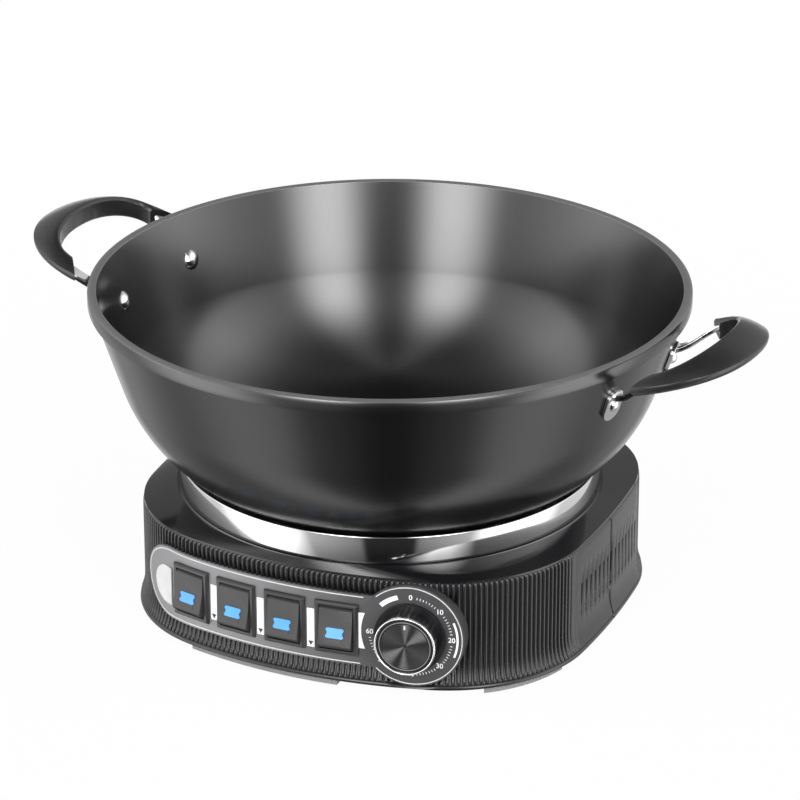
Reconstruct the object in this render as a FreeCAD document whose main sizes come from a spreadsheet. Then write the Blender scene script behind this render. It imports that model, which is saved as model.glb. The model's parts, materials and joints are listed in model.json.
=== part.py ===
# Electric wok: a deep coated wok that lifts off a ribbed base with a hot plate,
# four rocker switches and a clockwork timer. Sizes in millimetres, +Z up.
# Origin: on the floor, below the centre of the wok. The control panel faces -Y.
import FreeCAD, Part
import math
import os
import Sketcher
from FreeCAD import Placement, Rotation, Vector

doc = FreeCAD.newDocument("electric_wok")

# Driving dimensions. Each one is written once, here, as a real size.
SIZES = {
    # floor, feet and bottom cover
    "foot_height": 5.0,
    "foot_inset": 2.2,
    "foot_width": 9.8,
    "front_foot_left": -75.0,
    "front_foot_right": 18.0,
    "corner_foot_left": 97.0,
    "corner_foot_front": -110.0,
    "corner_foot_back": -55.0,
    "pan_depth": 2.5,
    "pan_inset": 14.0,
    "cover_thickness": 3.0,
    "cover_gap": 0.2,
    "cover_seat_inset": 1.5,
    "cover_slot_width": 3.0,
    "cover_slot_length": 46.0,
    "cover_slot_pitch": 9.0,
    "cover_slot_reach": 48.0,
    "cover_slot_count": 7,
    # plan of the base
    "base_half_width": 133.0,
    "base_half_depth": 127.9,
    "base_setback": 4.3,
    "front_bow_radius": 268.0,
    "side_bow_radius": 590.0,
    "corner_radius": 82.5,
    # ribbed wall and its lip
    "wall_height": 61.0,
    "wall_thickness": 3.2,
    "rib_count": 284,
    "rib_depth": 1.1,
    "rib_top_bevel": 1.4,
    "lip_flare": 3.0,
    "lip_height": 4.2,
    "lip_band": 1.2,
    "lip_bevel": 1.2,
    # vent slots in both side walls
    "vent_count": 15,
    "vent_width": 2.2,
    "vent_height": 20.5,
    "vent_pitch": 6.4,
    "vent_height_above_cover": 18.0,
    "vent_shift": 2.7,
    # deck and stainless ring
    "deck_edge": 1.2,
    "deck_crown": 4.4,
    "deck_inset": 0.6,
    "deck_opening_radius": 112.0,
    "deck_rim_depth": 4.0,
    "deck_rim_width": 2.0,
    "deck_opening_depth": 30.0,
    "ring_radius": 120.5,
    "ring_height": 16.4,
    "ring_thickness": 0.8,
    "ring_seat_margin": 1.5,
    # hot plate and what carries it
    "plate_below_deck": 2.8,
    "plate_radius": 85.0,
    "plate_thickness": 9.0,
    "plate_rim_height": 3.0,
    "element_ring_radius": 62.0,
    "element_radius": 4.2,
    "element_gap_angle": 40.0,
    "element_tail_length": 16.0,
    "dish_depth": 24.0,
    "dish_thickness": 0.8,
    "dish_floor_radius": 90.0,
    "dish_mouth_radius": 106.0,
    "dish_flange_radius": 116.0,
    "post_radius": 4.0,
    "post_circle_radius": 40.0,
    "post_count": 3,
    "thermostat_radius": 9.0,
    "thermostat_height": 9.0,
    "fuse_radius": 2.0,
    "fuse_length": 14.0,
    # wok
    "wok_depth": 121.0,
    "wok_thickness": 2.5,
    "rim_radius": 170.0,
    "rim_lip_width": 5.3,
    "rim_band_height": 8.0,
    "rim_step": 2.7,
    "rim_edge_bevel": 0.8,
    "wok_flat_share": 0.34,
    "wok_straight_share": 0.087,
    # handles
    "handle_turn": -5.8,
    "rivet_drop": 28.0,
    "rivet_spread": 37.7,
    "rivet_shank_radius": 2.5,
    "rivet_shank_gap": 0.05,
    "rivet_inside_radius": 6.7,
    "rivet_inside_height": 3.6,
    "rivet_inside_seat": 0.15,
    "rivet_outside_radius": 3.6,
    "rivet_outside_height": 2.2,
    "foot_plate_width": 13.0,
    "foot_plate_length": 20.0,
    "foot_plate_thickness": 2.0,
    "strap_width": 8.0,
    "strap_thickness": 3.6,
    "strap_socket_depth": 10.0,
    "strap_end_drop": 10.4,
    "strap_tail_rise": 4.1,
    "grip_inner_start": 14.0,
    "grip_inner_reach": 20.8,
    "grip_inner_spread": 42.8,
    "grip_outer_start": 5.0,
    "grip_outer_reach": 49.8,
    "grip_outer_spread": 54.5,
    "grip_squareness": 2.2,
    "grip_end_drop": 3.3,
    "grip_slope": 0.56,
    "grip_inner_height": 11.6,
    "grip_outer_drop": 5.4,
    "grip_outer_height": 5.1,
    "grip_edge": 1.3,
    "grip_crest_width": 3.0,
    "grip_stations": 13,
    # control panel
    "panel_height": 43.2,
    "panel_centre_above_cover": 29.7,
    "panel_left_reach": 109.0,
    "panel_proud": 1.2,
    "panel_thickness": 2.4,
    "dial_reach": 61.6,
    "dial_radius": 30.4,
    "dial_proud": 2.4,
    "dial_turn": 8.0,
    # rocker switches
    "switch_count": 4,
    "switch_pitch": 30.8,
    "switch_last_reach": 19.8,
    "bezel_width": 25.0,
    "bezel_height": 31.4,
    "bezel_proud": 2.2,
    "bezel_bevel": 0.9,
    "switch_body_width": 22.4,
    "switch_body_height": 28.4,
    "switch_body_depth": 18.0,
    "rocker_width": 19.4,
    "rocker_gap": 0.3,
    "rocker_radius": 13.0,
    "rocker_pivot_depth": 4.0,
    "rocker_face_height": 2.2,
    "rocker_dip": 0.8,
    "rocker_throw": 20.0,
    "pivot_pin_radius": 1.2,
    "pivot_pin_gap": 0.05,
    "pivot_pin_length": 1.1,
    "lens_width": 8.6,
    "lens_height": 5.4,
    "lens_depth": 1.6,
    "lens_proud": 0.3,
    "lens_offset": 5.6,
    # timer and its knob
    "timer_width": 40.0,
    "timer_depth": 18.0,
    "timer_behind_wall": 7.2,
    "timer_neck_radius": 6.0,
    "spindle_radius": 3.0,
    "spindle_gap": 0.05,
    "spindle_socket": 8.0,
    "knob_gap": 0.5,
    "knob_skirt_radius": 20.0,
    "knob_skirt_height": 2.6,
    "knob_radius": 17.2,
    "knob_height": 13.6,
    "knob_flutes": 36,
    "knob_flute_radius": 0.55,
    "knob_ring_width": 1.3,
    "knob_ring_height": 1.6,
    "knob_cap_radius": 14.2,
    "knob_cap_recess": 0.7,
    "knob_wall": 2.0,
    # wiring pieces at the back
    "inlet_width": 28.0,
    "inlet_height": 20.0,
    "inlet_wall": 2.0,
    "inlet_depth": 17.0,
    "inlet_flange": 2.0,
    "inlet_flange_margin": 4.0,
    "inlet_cavity_depth": 14.5,
    "pin_length": 8.6,
    "pin_width": 4.0,
    "pin_thickness": 1.8,
    "pin_spacing": 14.0,
    "terminal_length": 36.0,
    "terminal_width": 14.0,
    "terminal_height": 12.0,
    "screw_radius": 1.5,
    "screw_gap": 0.1,
    "screw_head_radius": 3.2,
    "screw_head_height": 1.8,
    "screw_length": 14.0,
    "boss_radius": 4.6,
    "boss_height": 50.0,
}

sheet = doc.addObject("Spreadsheet::Sheet", "Sizes")
for row, (name, number) in enumerate(SIZES.items(), start=1):
    sheet.set("A%d" % row, name)
    sheet.set("B%d" % row, str(number))
    sheet.setAlias("B%d" % row, name)
doc.recompute()


class Size:
    """A size: its value now, and the expression on the sheet that gives it."""

    def __init__(self, value, text):
        self.value = float(value)
        self.text = text

    def joined(self, other, sign, value, swapped=False):
        other_text = other.text if isinstance(other, Size) else repr(float(other))
        first, last = (other_text, self.text) if swapped else (self.text, other_text)
        return Size(value, "(%s %s %s)" % (first, sign, last))

    def __add__(self, other):
        return self.joined(other, "+", self.value + number_of(other))

    def __radd__(self, other):
        return self.joined(other, "+", number_of(other) + self.value, True)

    def __sub__(self, other):
        return self.joined(other, "-", self.value - number_of(other))

    def __rsub__(self, other):
        return self.joined(other, "-", number_of(other) - self.value, True)

    def __mul__(self, other):
        return self.joined(other, "*", self.value * number_of(other))

    def __rmul__(self, other):
        return self.joined(other, "*", number_of(other) * self.value, True)

    def __truediv__(self, other):
        return self.joined(other, "/", self.value / number_of(other))

    def __neg__(self):
        return Size(-self.value, "(0 - %s)" % self.text)

    def root(self):
        return Size(math.sqrt(self.value), "sqrt(%s)" % self.text)


def number_of(size):
    return size.value if isinstance(size, Size) else float(size)


def cell(name):
    """The named cell of the sheet, as a Size."""
    return Size(sheet.get(name), "Sizes.%s" % name)


def mm(name):
    """The plain value of the named cell."""
    return float(sheet.get(name))


# Levels that several pieces share, from the floor up.
cover_bottom = cell("foot_height")
pan_bottom = cover_bottom - cell("pan_depth")
cover_top = cover_bottom + cell("cover_thickness")
wall_top = cover_top + cell("wall_height")
deck_top = wall_top + cell("deck_edge") + cell("deck_crown")
plate_top = deck_top - cell("plate_below_deck")
plate_bottom = plate_top - cell("plate_thickness")
dish_floor = wall_top - cell("dish_depth")
ring_top = deck_top + cell("ring_height")
wok_bottom = plate_top
rim_top = wok_bottom + cell("wok_depth")
panel_centre = cover_top + cell("panel_centre_above_cover")

made = []


def keep(label, item):
    """Names a finished sub-part and lists it for writing."""
    item.Label = label
    made.append(item)
    return item


def bind(item, **sizes):
    """Binds properties of an object to sizes on the sheet."""
    for name, size in sizes.items():
        path = name.replace("_of_", ".")
        if isinstance(size, Size):
            item.setExpression(path, size.text)
        else:
            item.setExpression(path, repr(float(size)))


def place(item, x=0.0, y=0.0, z=0.0):
    """Binds an object's place."""
    for letter, size in (("x", x), ("y", y), ("z", z)):
        text = size.text if isinstance(size, Size) else repr(float(size))
        item.setExpression("Placement.Base." + letter, text)
    return item


def cylinder(name, radius, height, x=0.0, y=0.0, z=0.0):
    item = doc.addObject("Part::Cylinder", name)
    bind(item, Radius=radius, Height=height)
    return place(item, x, y, z)


def lying_cylinder(name, radius, height, x=0.0, y=0.0, z=0.0, axis=Vector(1, 0, 0)):
    """A cylinder along another axis than Z."""
    item = cylinder(name, radius, height, x, y, z)
    item.Placement.Rotation = Rotation(Vector(0, 0, 1), axis)
    return item


def block(name, length, width, height, x=0.0, y=0.0, z=0.0):
    """A block centred on x and standing on y and z."""
    item = doc.addObject("Part::Box", name)
    bind(item, Length=length, Width=width, Height=height)
    return place(item, x - length / 2, y, z)


def cut(name, base, tool):
    item = doc.addObject("Part::Cut", name)
    item.Base = base
    item.Tool = tool
    return item


def fuse(name, *items):
    item = doc.addObject("Part::MultiFuse", name)
    item.Shapes = list(items)
    return item


def solid_feature(name, shape):
    item = doc.addObject("Part::Feature", name)
    item.Shape = shape
    return item


def arc_centre(start, end, radius):
    """Centre of the arc from start to end that turns left for a positive radius."""
    chord = end - start
    half = chord.Length / 2.0
    across = Vector(-chord.y, chord.x, 0).normalize()
    reach = math.sqrt(max(radius * radius - half * half, 0.0))
    return (start + end) * 0.5 + across * (reach if radius > 0 else -reach)


def profile_sketch(body, name, plane, corners):
    """A closed sketch. Each corner is (across, up, radius of the arc to the next or None)."""
    sketch = body.newObject("Sketcher::SketchObject", name)
    origin_plane = [f for f in body.Origin.OriginFeatures if f.Role == plane][0]
    sketch.AttachmentSupport = [(origin_plane, "")]
    sketch.MapMode = "FlatFace"
    points = [Vector(number_of(c[0]), number_of(c[1]), 0) for c in corners]
    starts = []
    ends = []
    constraints = []
    bound = []
    for index, corner in enumerate(corners):
        start = points[index]
        end = points[(index + 1) % len(points)]
        if corner[2] is None:
            sketch.addGeometry(Part.LineSegment(start, end))
            starts.append(1)
            ends.append(2)
            continue
        radius = number_of(corner[2])
        centre = arc_centre(start, end, radius)
        circle = Part.Circle(centre, Vector(0, 0, 1), abs(radius))
        first, last = (start, end) if radius > 0 else (end, start)
        angles = [math.atan2(p.y - centre.y, p.x - centre.x) for p in (first, last)]
        if angles[1] < angles[0]:
            angles[1] += 2 * math.pi
        sketch.addGeometry(Part.ArcOfCircle(circle, angles[0], angles[1]))
        starts.append(1 if radius > 0 else 2)
        ends.append(2 if radius > 0 else 1)
        size = corner[2] if radius > 0 else -corner[2]
        bound.append((len(constraints), size))
        constraints.append(Sketcher.Constraint("Radius", index, abs(radius)))
    for index, corner in enumerate(corners):
        following = (index + 1) % len(corners)
        constraints.append(
            Sketcher.Constraint("Coincident", index, ends[index], following, starts[following]))
        for kind, size, axis in (("DistanceX", corner[0], -2), ("DistanceY", corner[1], -1)):
            if number_of(size) == 0.0:
                constraints.append(
                    Sketcher.Constraint("PointOnObject", index, starts[index], axis))
                continue
            bound.append((len(constraints), size))
            constraints.append(
                Sketcher.Constraint(kind, -1, 1, index, starts[index], number_of(size)))
    sketch.addConstraint(constraints)
    for place_in_list, size in bound:
        if isinstance(size, Size):
            sketch.setExpression("Constraints[%d]" % place_in_list, size.text)
    return sketch


def turned(name, corners):
    """A body turned about Z from a profile of (radius, height, arc)."""
    body = doc.addObject("PartDesign::Body", name)
    sketch = profile_sketch(body, name + "_profile", "XZ_Plane", corners)
    turn = body.newObject("PartDesign::Revolution", name + "_turn")
    turn.Profile = sketch
    turn.ReferenceAxis = (sketch, ["V_Axis"])
    turn.Angle = 360
    sketch.Visibility = False
    return body


# Plan of the base: four bowed sides joined by four corner arcs.
class Plan:
    """The base's outline, with the place and direction of every point along it."""

    def __init__(self):
        half_width = mm("base_half_width")
        half_depth = mm("base_half_depth")
        self.shift = mm("base_setback")
        self.corner = mm("corner_radius")
        self.bow = mm("front_bow_radius")
        self.side = mm("side_bow_radius")
        self.front_centre = self.bow - half_depth
        self.side_centre = self.side - half_width
        self.corner_x, self.corner_y = self.corner_centre()
        self.front_angle = math.atan2(self.corner_x, self.corner_y + self.front_centre)
        self.side_angle = math.atan2(self.corner_y, self.corner_x + self.side_centre)

    def corner_centre(self):
        """Where a corner arc touches a front arc and a side arc."""
        first = self.bow - self.corner
        second = self.side - self.corner
        a = Vector(0, -self.front_centre, 0)
        b = Vector(-self.side_centre, 0, 0)
        apart = (b - a).Length
        along = (first * first - second * second + apart * apart) / (2 * apart)
        off = math.sqrt(first * first - along * along)
        direction = (b - a).normalize()
        middle = a + direction * along
        normal = Vector(-direction.y, direction.x, 0)
        options = [middle + normal * off, middle - normal * off]
        best = max(options, key=lambda p: p.x + p.y)
        return best.x, best.y

    def quarter_arcs(self):
        """Centre, radius, start and end angle of each arc, anticlockwise from +X."""
        right = Vector(-self.side_centre, self.shift, 0)
        left = Vector(self.side_centre, self.shift, 0)
        back = Vector(0, self.shift - self.front_centre, 0)
        front = Vector(0, self.shift + self.front_centre, 0)
        quarter = math.pi / 2
        one_side = self.side_angle
        one_front = self.front_angle
        arcs = []
        sides = ((right, self.side, one_side), (back, self.bow, one_front),
                 (left, self.side, one_side), (front, self.bow, one_front))
        signs = ((1, 1), (-1, 1), (-1, -1), (1, -1))
        for turn, ((centre, radius, half), (sx, sy)) in enumerate(zip(sides, signs)):
            middle = turn * quarter
            arcs.append((centre, radius, middle - half, middle + half))
            corner = Vector(sx * self.corner_x, self.shift + sy * self.corner_y, 0)
            following = one_front if turn % 2 == 0 else one_side
            arcs.append((corner, self.corner, middle + half, middle + quarter - following))
        return arcs

    def wire(self, offset, height):
        """The outline, moved outwards by offset, at a height."""
        edges = []
        for centre, radius, start, end in self.quarter_arcs():
            where = Vector(centre.x, centre.y, height)
            circle = Part.Circle(where, Vector(0, 0, 1), radius + offset)
            edges.append(Part.ArcOfCircle(circle, start, end).toShape())
        return Part.Wire(edges)

    def at(self, distance, offset=0.0):
        """The point a distance along the outline from the middle of the right side."""
        arcs = self.quarter_arcs()
        arcs = arcs + [arcs[0]]
        left = distance + arcs[0][1] * (arcs[0][3] - arcs[0][2]) / 2
        for centre, radius, start, end in arcs:
            length = radius * (end - start)
            if left <= length:
                angle = start + left / radius
                outwards = Vector(math.cos(angle), math.sin(angle), 0)
                return centre + outwards * (radius + offset), outwards
            left -= length
        raise ValueError("beyond the outline")

    def length(self):
        return sum(radius * (end - start) for _, radius, start, end in self.quarter_arcs())

    def front_station(self, reach):
        """Place and outward direction on the front wall at a distance along it from its middle."""
        return self.at(self.length() * 0.75 + reach)


plan = Plan()


def prism(offset, bottom, top):
    """The base's outline as a solid between two heights."""
    return Part.Face(plan.wire(offset, bottom)).extrude(Vector(0, 0, top - bottom))


def stacked(levels):
    """A solid through the base's outline at (offset, height) levels."""
    wires = [plan.wire(offset, height) for offset, height in levels]
    return Part.makeLoft(wires, True, True)


# Housing: the ribbed wall, its smooth lip, the vents and the openings for the panel parts.
def ribbed_wall():
    count = int(mm("rib_count"))
    pitch = plan.length() / count
    depth = mm("rib_depth")
    points = []
    for rib in range(count):
        for share, inset in ((0.0, depth), (0.28, 0.0), (0.72, 0.0)):
            point, _ = plan.at((rib + share) * pitch, -inset)
            points.append(Vector(point.x, point.y, cover_top.value))
    wire = Part.makePolygon(points + points[:1])
    ribs = Part.Face(wire).extrude(Vector(0, 0, mm("wall_height")))
    bevel = mm("rib_top_bevel")
    top = wall_top.value
    sleeve = stacked([(1.0, cover_top.value - 1), (1.0, top - bevel - 1.0), (-bevel, top)])
    return ribs.common(sleeve)


def lip():
    flare = mm("lip_flare")
    bottom = cover_bottom.value
    bevel = mm("lip_bevel")
    band = bottom + bevel + mm("lip_band")
    top = bottom + mm("lip_height")
    return stacked([(flare - bevel, bottom), (flare, bottom + bevel), (flare, band), (-0.2, top)])


def vents():
    """The slots of both side walls, as cutters."""
    slots = []
    count = int(mm("vent_count"))
    low = cover_top.value + mm("vent_height_above_cover")
    for side in (0.0, 0.5):
        for index in range(count):
            along = (index - (count - 1) / 2.0) * mm("vent_pitch") + mm("vent_shift")
            if side:
                along = -along
            distance = (side * plan.length() + along) % plan.length()
            point, outwards = plan.at(distance)
            slot = Part.makeBox(30, mm("vent_width"), mm("vent_height"),
                                Vector(-24, -mm("vent_width") / 2, low))
            angle = math.degrees(math.atan2(outwards.y, outwards.x))
            slot.Placement = Placement(point, Rotation(Vector(0, 0, 1), angle))
            slots.append(slot)
    return Part.makeCompound(slots)


class Station:
    """A place on the front wall: its local x runs to the right, its local y inwards."""

    def __init__(self, reach, turn=None):
        self.point, outwards = plan.front_station(reach)
        self.angle = turn
        if turn is None:
            self.angle = math.degrees(math.atan2(outwards.x, -outwards.y))
        facing = math.radians(self.angle)
        self.right = Vector(math.cos(facing), math.sin(facing), 0)
        self.inwards = Vector(-math.sin(facing), math.cos(facing), 0)
        self.base = Vector(self.point.x, self.point.y, panel_centre.value)
        self.placement = Placement(self.base, Rotation(Vector(0, 0, 1), self.angle))


def switch_reach(index):
    return mm("switch_last_reach") - (mm("switch_count") - 1 - index) * mm("switch_pitch")


switches = [Station(switch_reach(i)) for i in range(int(mm("switch_count")))]
dial = Station(mm("dial_reach"), mm("dial_turn"))
panel_face = -mm("panel_proud")
dial_face = -mm("dial_proud")


def panel_blank():
    """The keyhole faceplate: bent to the wall, with a flat round end for the dial."""
    half = mm("panel_height") / 2
    low = panel_centre.value - half
    high = low + 2 * half
    band = prism(mm("panel_proud"), low, high)
    band = band.cut(prism(mm("panel_proud") - mm("panel_thickness"), low - 1, high + 1))
    left = -mm("panel_left_reach") + half
    depth = mm("base_half_depth") + 20
    middle = Vector(left, -depth, panel_centre.value)
    round_end = Part.makeCylinder(half, depth, middle, Vector(0, 1, 0))
    reach = dial.point.x - left
    straight = Part.makeBox(reach, depth, 2 * half, Vector(left, -depth, low))
    strip = band.common(round_end.fuse(straight))
    disc = Part.makeCylinder(mm("dial_radius"), 30, Vector(0, dial_face, 0), Vector(0, 1, 0))
    disc.Placement = dial.placement
    low_end = cover_bottom.value
    core = prism(mm("panel_proud") - mm("panel_thickness"), low_end, wall_top.value)
    return strip.fuse(disc.cut(core)).removeSplitter()


def dial_view():
    """The round notch in front of the dial, cut out of the lip."""
    notch = Part.makeCylinder(mm("dial_radius"), 20, Vector(0, dial_face - 20, 0), Vector(0, 1, 0))
    notch.Placement = dial.placement
    return notch


def switch_holes(margin):
    """Cutters for the switch bodies, larger all round by a margin."""
    cutters = []
    for station in switches:
        wide = mm("switch_body_width") + 2 * margin
        high = mm("switch_body_height") + 2 * margin
        hole = Part.makeBox(wide, 30, high, Vector(-wide / 2, -10, -high / 2))
        hole.Placement = station.placement
        cutters.append(hole)
    return Part.makeCompound(cutters)


def dial_hole():
    hole = Part.makeCylinder(mm("spindle_radius") + mm("spindle_gap"), 30,
                             Vector(0, -10, 0), Vector(0, 1, 0))
    hole.Placement = dial.placement
    return hole


inlet_width = mm("inlet_width")
inlet_height = mm("inlet_height")
inlet_centre = Vector(0, plan.shift + mm("base_half_depth"), panel_centre.value - 2.0)


def inlet_hole():
    corner = Vector(-inlet_width / 2, inlet_centre.y - 20, inlet_centre.z - inlet_height / 2)
    return Part.makeBox(inlet_width, 40, inlet_height, corner)


def inlet_flat():
    """The flat pad on the ribbed wall that the inlet's flange seats on."""
    margin = mm("inlet_flange_margin")
    wide = inlet_width + 2 * margin
    high = inlet_height + 2 * margin
    corner = Vector(-wide / 2, inlet_centre.y - mm("rib_depth") - 0.4, inlet_centre.z - high / 2)
    return Part.makeBox(wide, 20, high, corner)


screw_places = []
for sx in (1, -1):
    for sy in (1, -1):
        away = Vector(sx * plan.corner_x, plan.shift + sy * plan.corner_y, 0)
        reach = plan.corner - mm("wall_thickness") - mm("boss_radius") + 0.8
        screw_places.append(away + Vector(sx, sy, 0).normalize() * reach)

wall = mm("wall_thickness")
seat_inset = mm("cover_seat_inset")
shell = ribbed_wall().fuse(lip())
shell = shell.cut(prism(-wall, cover_top.value, wall_top.value + 1))
shell = shell.cut(prism(-seat_inset, cover_bottom.value - 1, cover_top.value))
bosses = []
for where in screw_places:
    foot = Vector(where.x, where.y, cover_top.value)
    pillar = Part.makeCylinder(mm("boss_radius"), mm("boss_height"), foot)
    bosses.append(pillar.common(prism(-wall / 2, cover_top.value, wall_top.value)))
shell = shell.fuse(bosses)
for where in screw_places:
    foot = Vector(where.x, where.y, cover_top.value - 1)
    shell = shell.cut(Part.makeCylinder(mm("screw_radius") + mm("screw_gap"),
                                        mm("screw_length") + 1, foot))
shell = shell.cut(vents())
panel_shape = panel_blank()
shell = shell.cut(Part.makeCompound([panel_shape, switch_holes(0.2), dial_hole()]))
shell = shell.cut(dial_view())
shell = shell.cut(Part.makeCompound([inlet_flat(), inlet_hole()]))
keep("base_housing", solid_feature("Housing", shell))

# Faceplate with its windows for the switches and the timer's spindle.
faceplate = panel_shape.cut(Part.makeCompound([switch_holes(0.0), dial_hole()]))
keep("control_panel", solid_feature("ControlPanel", faceplate))


# Deck: a low crowned lid with a round opening, and the stainless ring that stands on it.
def deck():
    inset = -mm("deck_inset")
    low = wall_top.value
    edge = low + mm("deck_edge")
    crown_radius = mm("ring_radius") + mm("ring_seat_margin")
    arcs = []
    for _, _, start, end in plan.quarter_arcs():
        circle = Part.Circle(Vector(0, 0, deck_top.value), Vector(0, 0, 1), crown_radius)
        arcs.append(Part.ArcOfCircle(circle, start, end).toShape())
    crown = Part.makeLoft([plan.wire(inset, edge), Part.Wire(arcs)], True, True)
    lid = prism(inset, low, edge).fuse(crown)
    outer = -(wall + 0.3)
    rim_low = low - mm("deck_rim_depth")
    rim = prism(outer, rim_low, low)
    rim = rim.cut(prism(outer - mm("deck_rim_width"), rim_low - 1, low))
    lid = lid.fuse(rim)
    depth = mm("deck_opening_depth")
    foot = Vector(0, 0, low - depth)
    lid = lid.cut(Part.makeCylinder(mm("deck_opening_radius"), 2 * depth, foot))
    return lid.cut(panel_clearance())


def panel_clearance():
    """Room below the lid for the switch bodies, the timer and the screw bosses."""
    pieces = []
    for where in screw_places:
        foot = Vector(where.x, where.y, cover_top.value)
        pieces.append(Part.makeCylinder(mm("boss_radius") + 0.5, mm("boss_height") + 1, foot))
    return Part.makeCompound(pieces)


keep("top_deck", solid_feature("Deck", deck()))

ring_outer = cell("ring_radius")
ring_inner = ring_outer - cell("ring_thickness")
ring_foot = deck_top + cell("ring_thickness")
flange_inner = cell("deck_opening_radius") + 0.5
keep("support_ring", turned("SupportRing", [
    (flange_inner, deck_top, None),
    (ring_outer, deck_top, None),
    (ring_outer, ring_top, None),
    (ring_inner, ring_top, None),
    (ring_inner, ring_foot, None),
    (flange_inner, ring_foot, None),
]))

# Hot plate with its rim, the tube element under it, the steel dish and its posts.
plate_radius = cell("plate_radius")
rim_inner = plate_radius - 6.0
rim_low = plate_bottom - cell("plate_rim_height")
keep("hot_plate", turned("HotPlate", [
    (0, plate_bottom, None),
    (rim_inner, plate_bottom, None),
    (rim_inner, rim_low, None),
    (plate_radius, rim_low, None),
    (plate_radius, plate_top - 1.5, None),
    (plate_radius - 1.5, plate_top, None),
    (0, plate_top, None),
]))

element_height = plate_bottom - cell("element_radius")
loop = doc.addObject("Part::Torus", "ElementLoop")
bind(loop, Radius1=cell("element_ring_radius"), Radius2=cell("element_radius"),
     Angle3=360 - cell("element_gap_angle"))
loop.Placement.Rotation = Rotation(Vector(0, 0, 1), 90 + mm("element_gap_angle") / 2)
place(loop, 0, 0, element_height)
tails = []
for side in (-1, 1):
    angle = math.radians(90 + side * mm("element_gap_angle") / 2)
    tail = cylinder("ElementTail%d" % (side + 1), cell("element_radius"),
                    cell("element_tail_length"),
                    cell("element_ring_radius") * math.cos(angle),
                    cell("element_ring_radius") * math.sin(angle),
                    element_height - cell("element_tail_length"))
    tails.append(tail)
keep("heating_element", fuse("HeatingElement", loop, *tails))

dish_wall = cell("dish_thickness")
dish = turned("Dish", [
    (0, dish_floor, None),
    (cell("dish_floor_radius"), dish_floor, None),
    (cell("dish_mouth_radius"), wall_top - dish_wall, None),
    (cell("dish_flange_radius"), wall_top - dish_wall, None),
    (cell("dish_flange_radius"), wall_top, None),
    (cell("dish_mouth_radius") - dish_wall, wall_top, None),
    (cell("dish_floor_radius") - dish_wall, dish_floor + dish_wall, None),
    (0, dish_floor + dish_wall, None),
])
holes = []
for side, tail in zip((-1, 1), tails):
    angle = math.radians(90 + side * mm("element_gap_angle") / 2)
    holes.append(cylinder("TailHole%d" % (side + 1), cell("element_radius") + 1.0, 40,
                          cell("element_ring_radius") * math.cos(angle),
                          cell("element_ring_radius") * math.sin(angle),
                          dish_floor - 20))
keep("reflector_dish", cut("ReflectorDish", dish, fuse("TailHoles", *holes)))

posts = []
post_bottom = dish_floor + dish_wall
for index in range(int(mm("post_count"))):
    angle = math.radians(30 + index * 360.0 / mm("post_count"))
    posts.append(cylinder("Post%d" % index, cell("post_radius"), plate_bottom - post_bottom,
                          cell("post_circle_radius") * math.cos(angle),
                          cell("post_circle_radius") * math.sin(angle), post_bottom))
keep("plate_posts", fuse("PlatePosts", *posts))

keep("thermostat", cylinder("Thermostat", cell("thermostat_radius"), cell("thermostat_height"),
                            0, 0, plate_bottom - cell("thermostat_height")))
keep("thermal_fuse", lying_cylinder(
    "ThermalFuse", cell("fuse_radius"), cell("fuse_length"),
    -cell("fuse_length") / 2, -24.0, plate_bottom - cell("fuse_radius")))


# Bottom cover with its vent slots, the feet and the screws.
def bottom_cover():
    low = pan_bottom.value
    seat = cover_bottom.value
    top = cover_top.value
    plate = prism(-(seat_inset + mm("cover_gap")), seat, top)
    inset = -mm("pan_inset")
    pan = stacked([(inset - 1.5, low), (inset, low + 1.5), (inset, seat)])
    cover = plate.fuse(pan)
    count = int(mm("cover_slot_count"))
    slots = []
    for side in (-1, 1):
        for index in range(count):
            along = (index - (count - 1) / 2.0) * mm("cover_slot_pitch")
            corner = Vector(side * mm("cover_slot_reach") - mm("cover_slot_length") / 2,
                            along - mm("cover_slot_width") / 2, low - 1)
            slots.append(Part.makeBox(mm("cover_slot_length"), mm("cover_slot_width"),
                                      top - low + 2, corner))
    cover = cover.cut(Part.makeCompound(slots))
    wells = []
    for where in screw_places:
        head = mm("screw_head_radius") + 0.2
        wells.append(Part.makeCylinder(head, mm("screw_head_height") + 1.2 + seat - low,
                                       Vector(where.x, where.y, low - 1)))
        wells.append(Part.makeCylinder(mm("screw_radius") + mm("screw_gap"), top - low + 2,
                                       Vector(where.x, where.y, low - 1)))
    return cover.cut(Part.makeCompound(wells))


keep("bottom_cover", solid_feature("BottomCover", bottom_cover()))



def rubber_feet():
    """Curved rubber rails: one under the front, one round a corner, and the same at the back."""
    outer = -mm("foot_inset")
    high = mm("foot_height")
    band = prism(outer, 0, high)
    band = band.cut(prism(outer - mm("foot_width"), -1, high + 1))
    beyond = 2 * mm("base_half_width")
    front_width = mm("front_foot_right") - mm("front_foot_left")
    front = Part.makeBox(front_width, beyond, high, Vector(mm("front_foot_left"), -beyond, 0))
    corner_width = mm("corner_foot_back") - mm("corner_foot_front")
    corner = Part.makeBox(beyond, corner_width, high,
                          Vector(mm("corner_foot_left"), mm("corner_foot_front"), 0))
    rails = [band.common(front), band.common(corner)]
    half_turn = Placement(Vector(0, 2 * plan.shift, 0), Rotation(Vector(0, 0, 1), 180))
    opposite = [rail.transformed(half_turn.toMatrix(), True) for rail in rails]
    return Part.makeCompound(rails + opposite)


keep("rubber_feet", solid_feature("RubberFeet", rubber_feet()))

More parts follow.
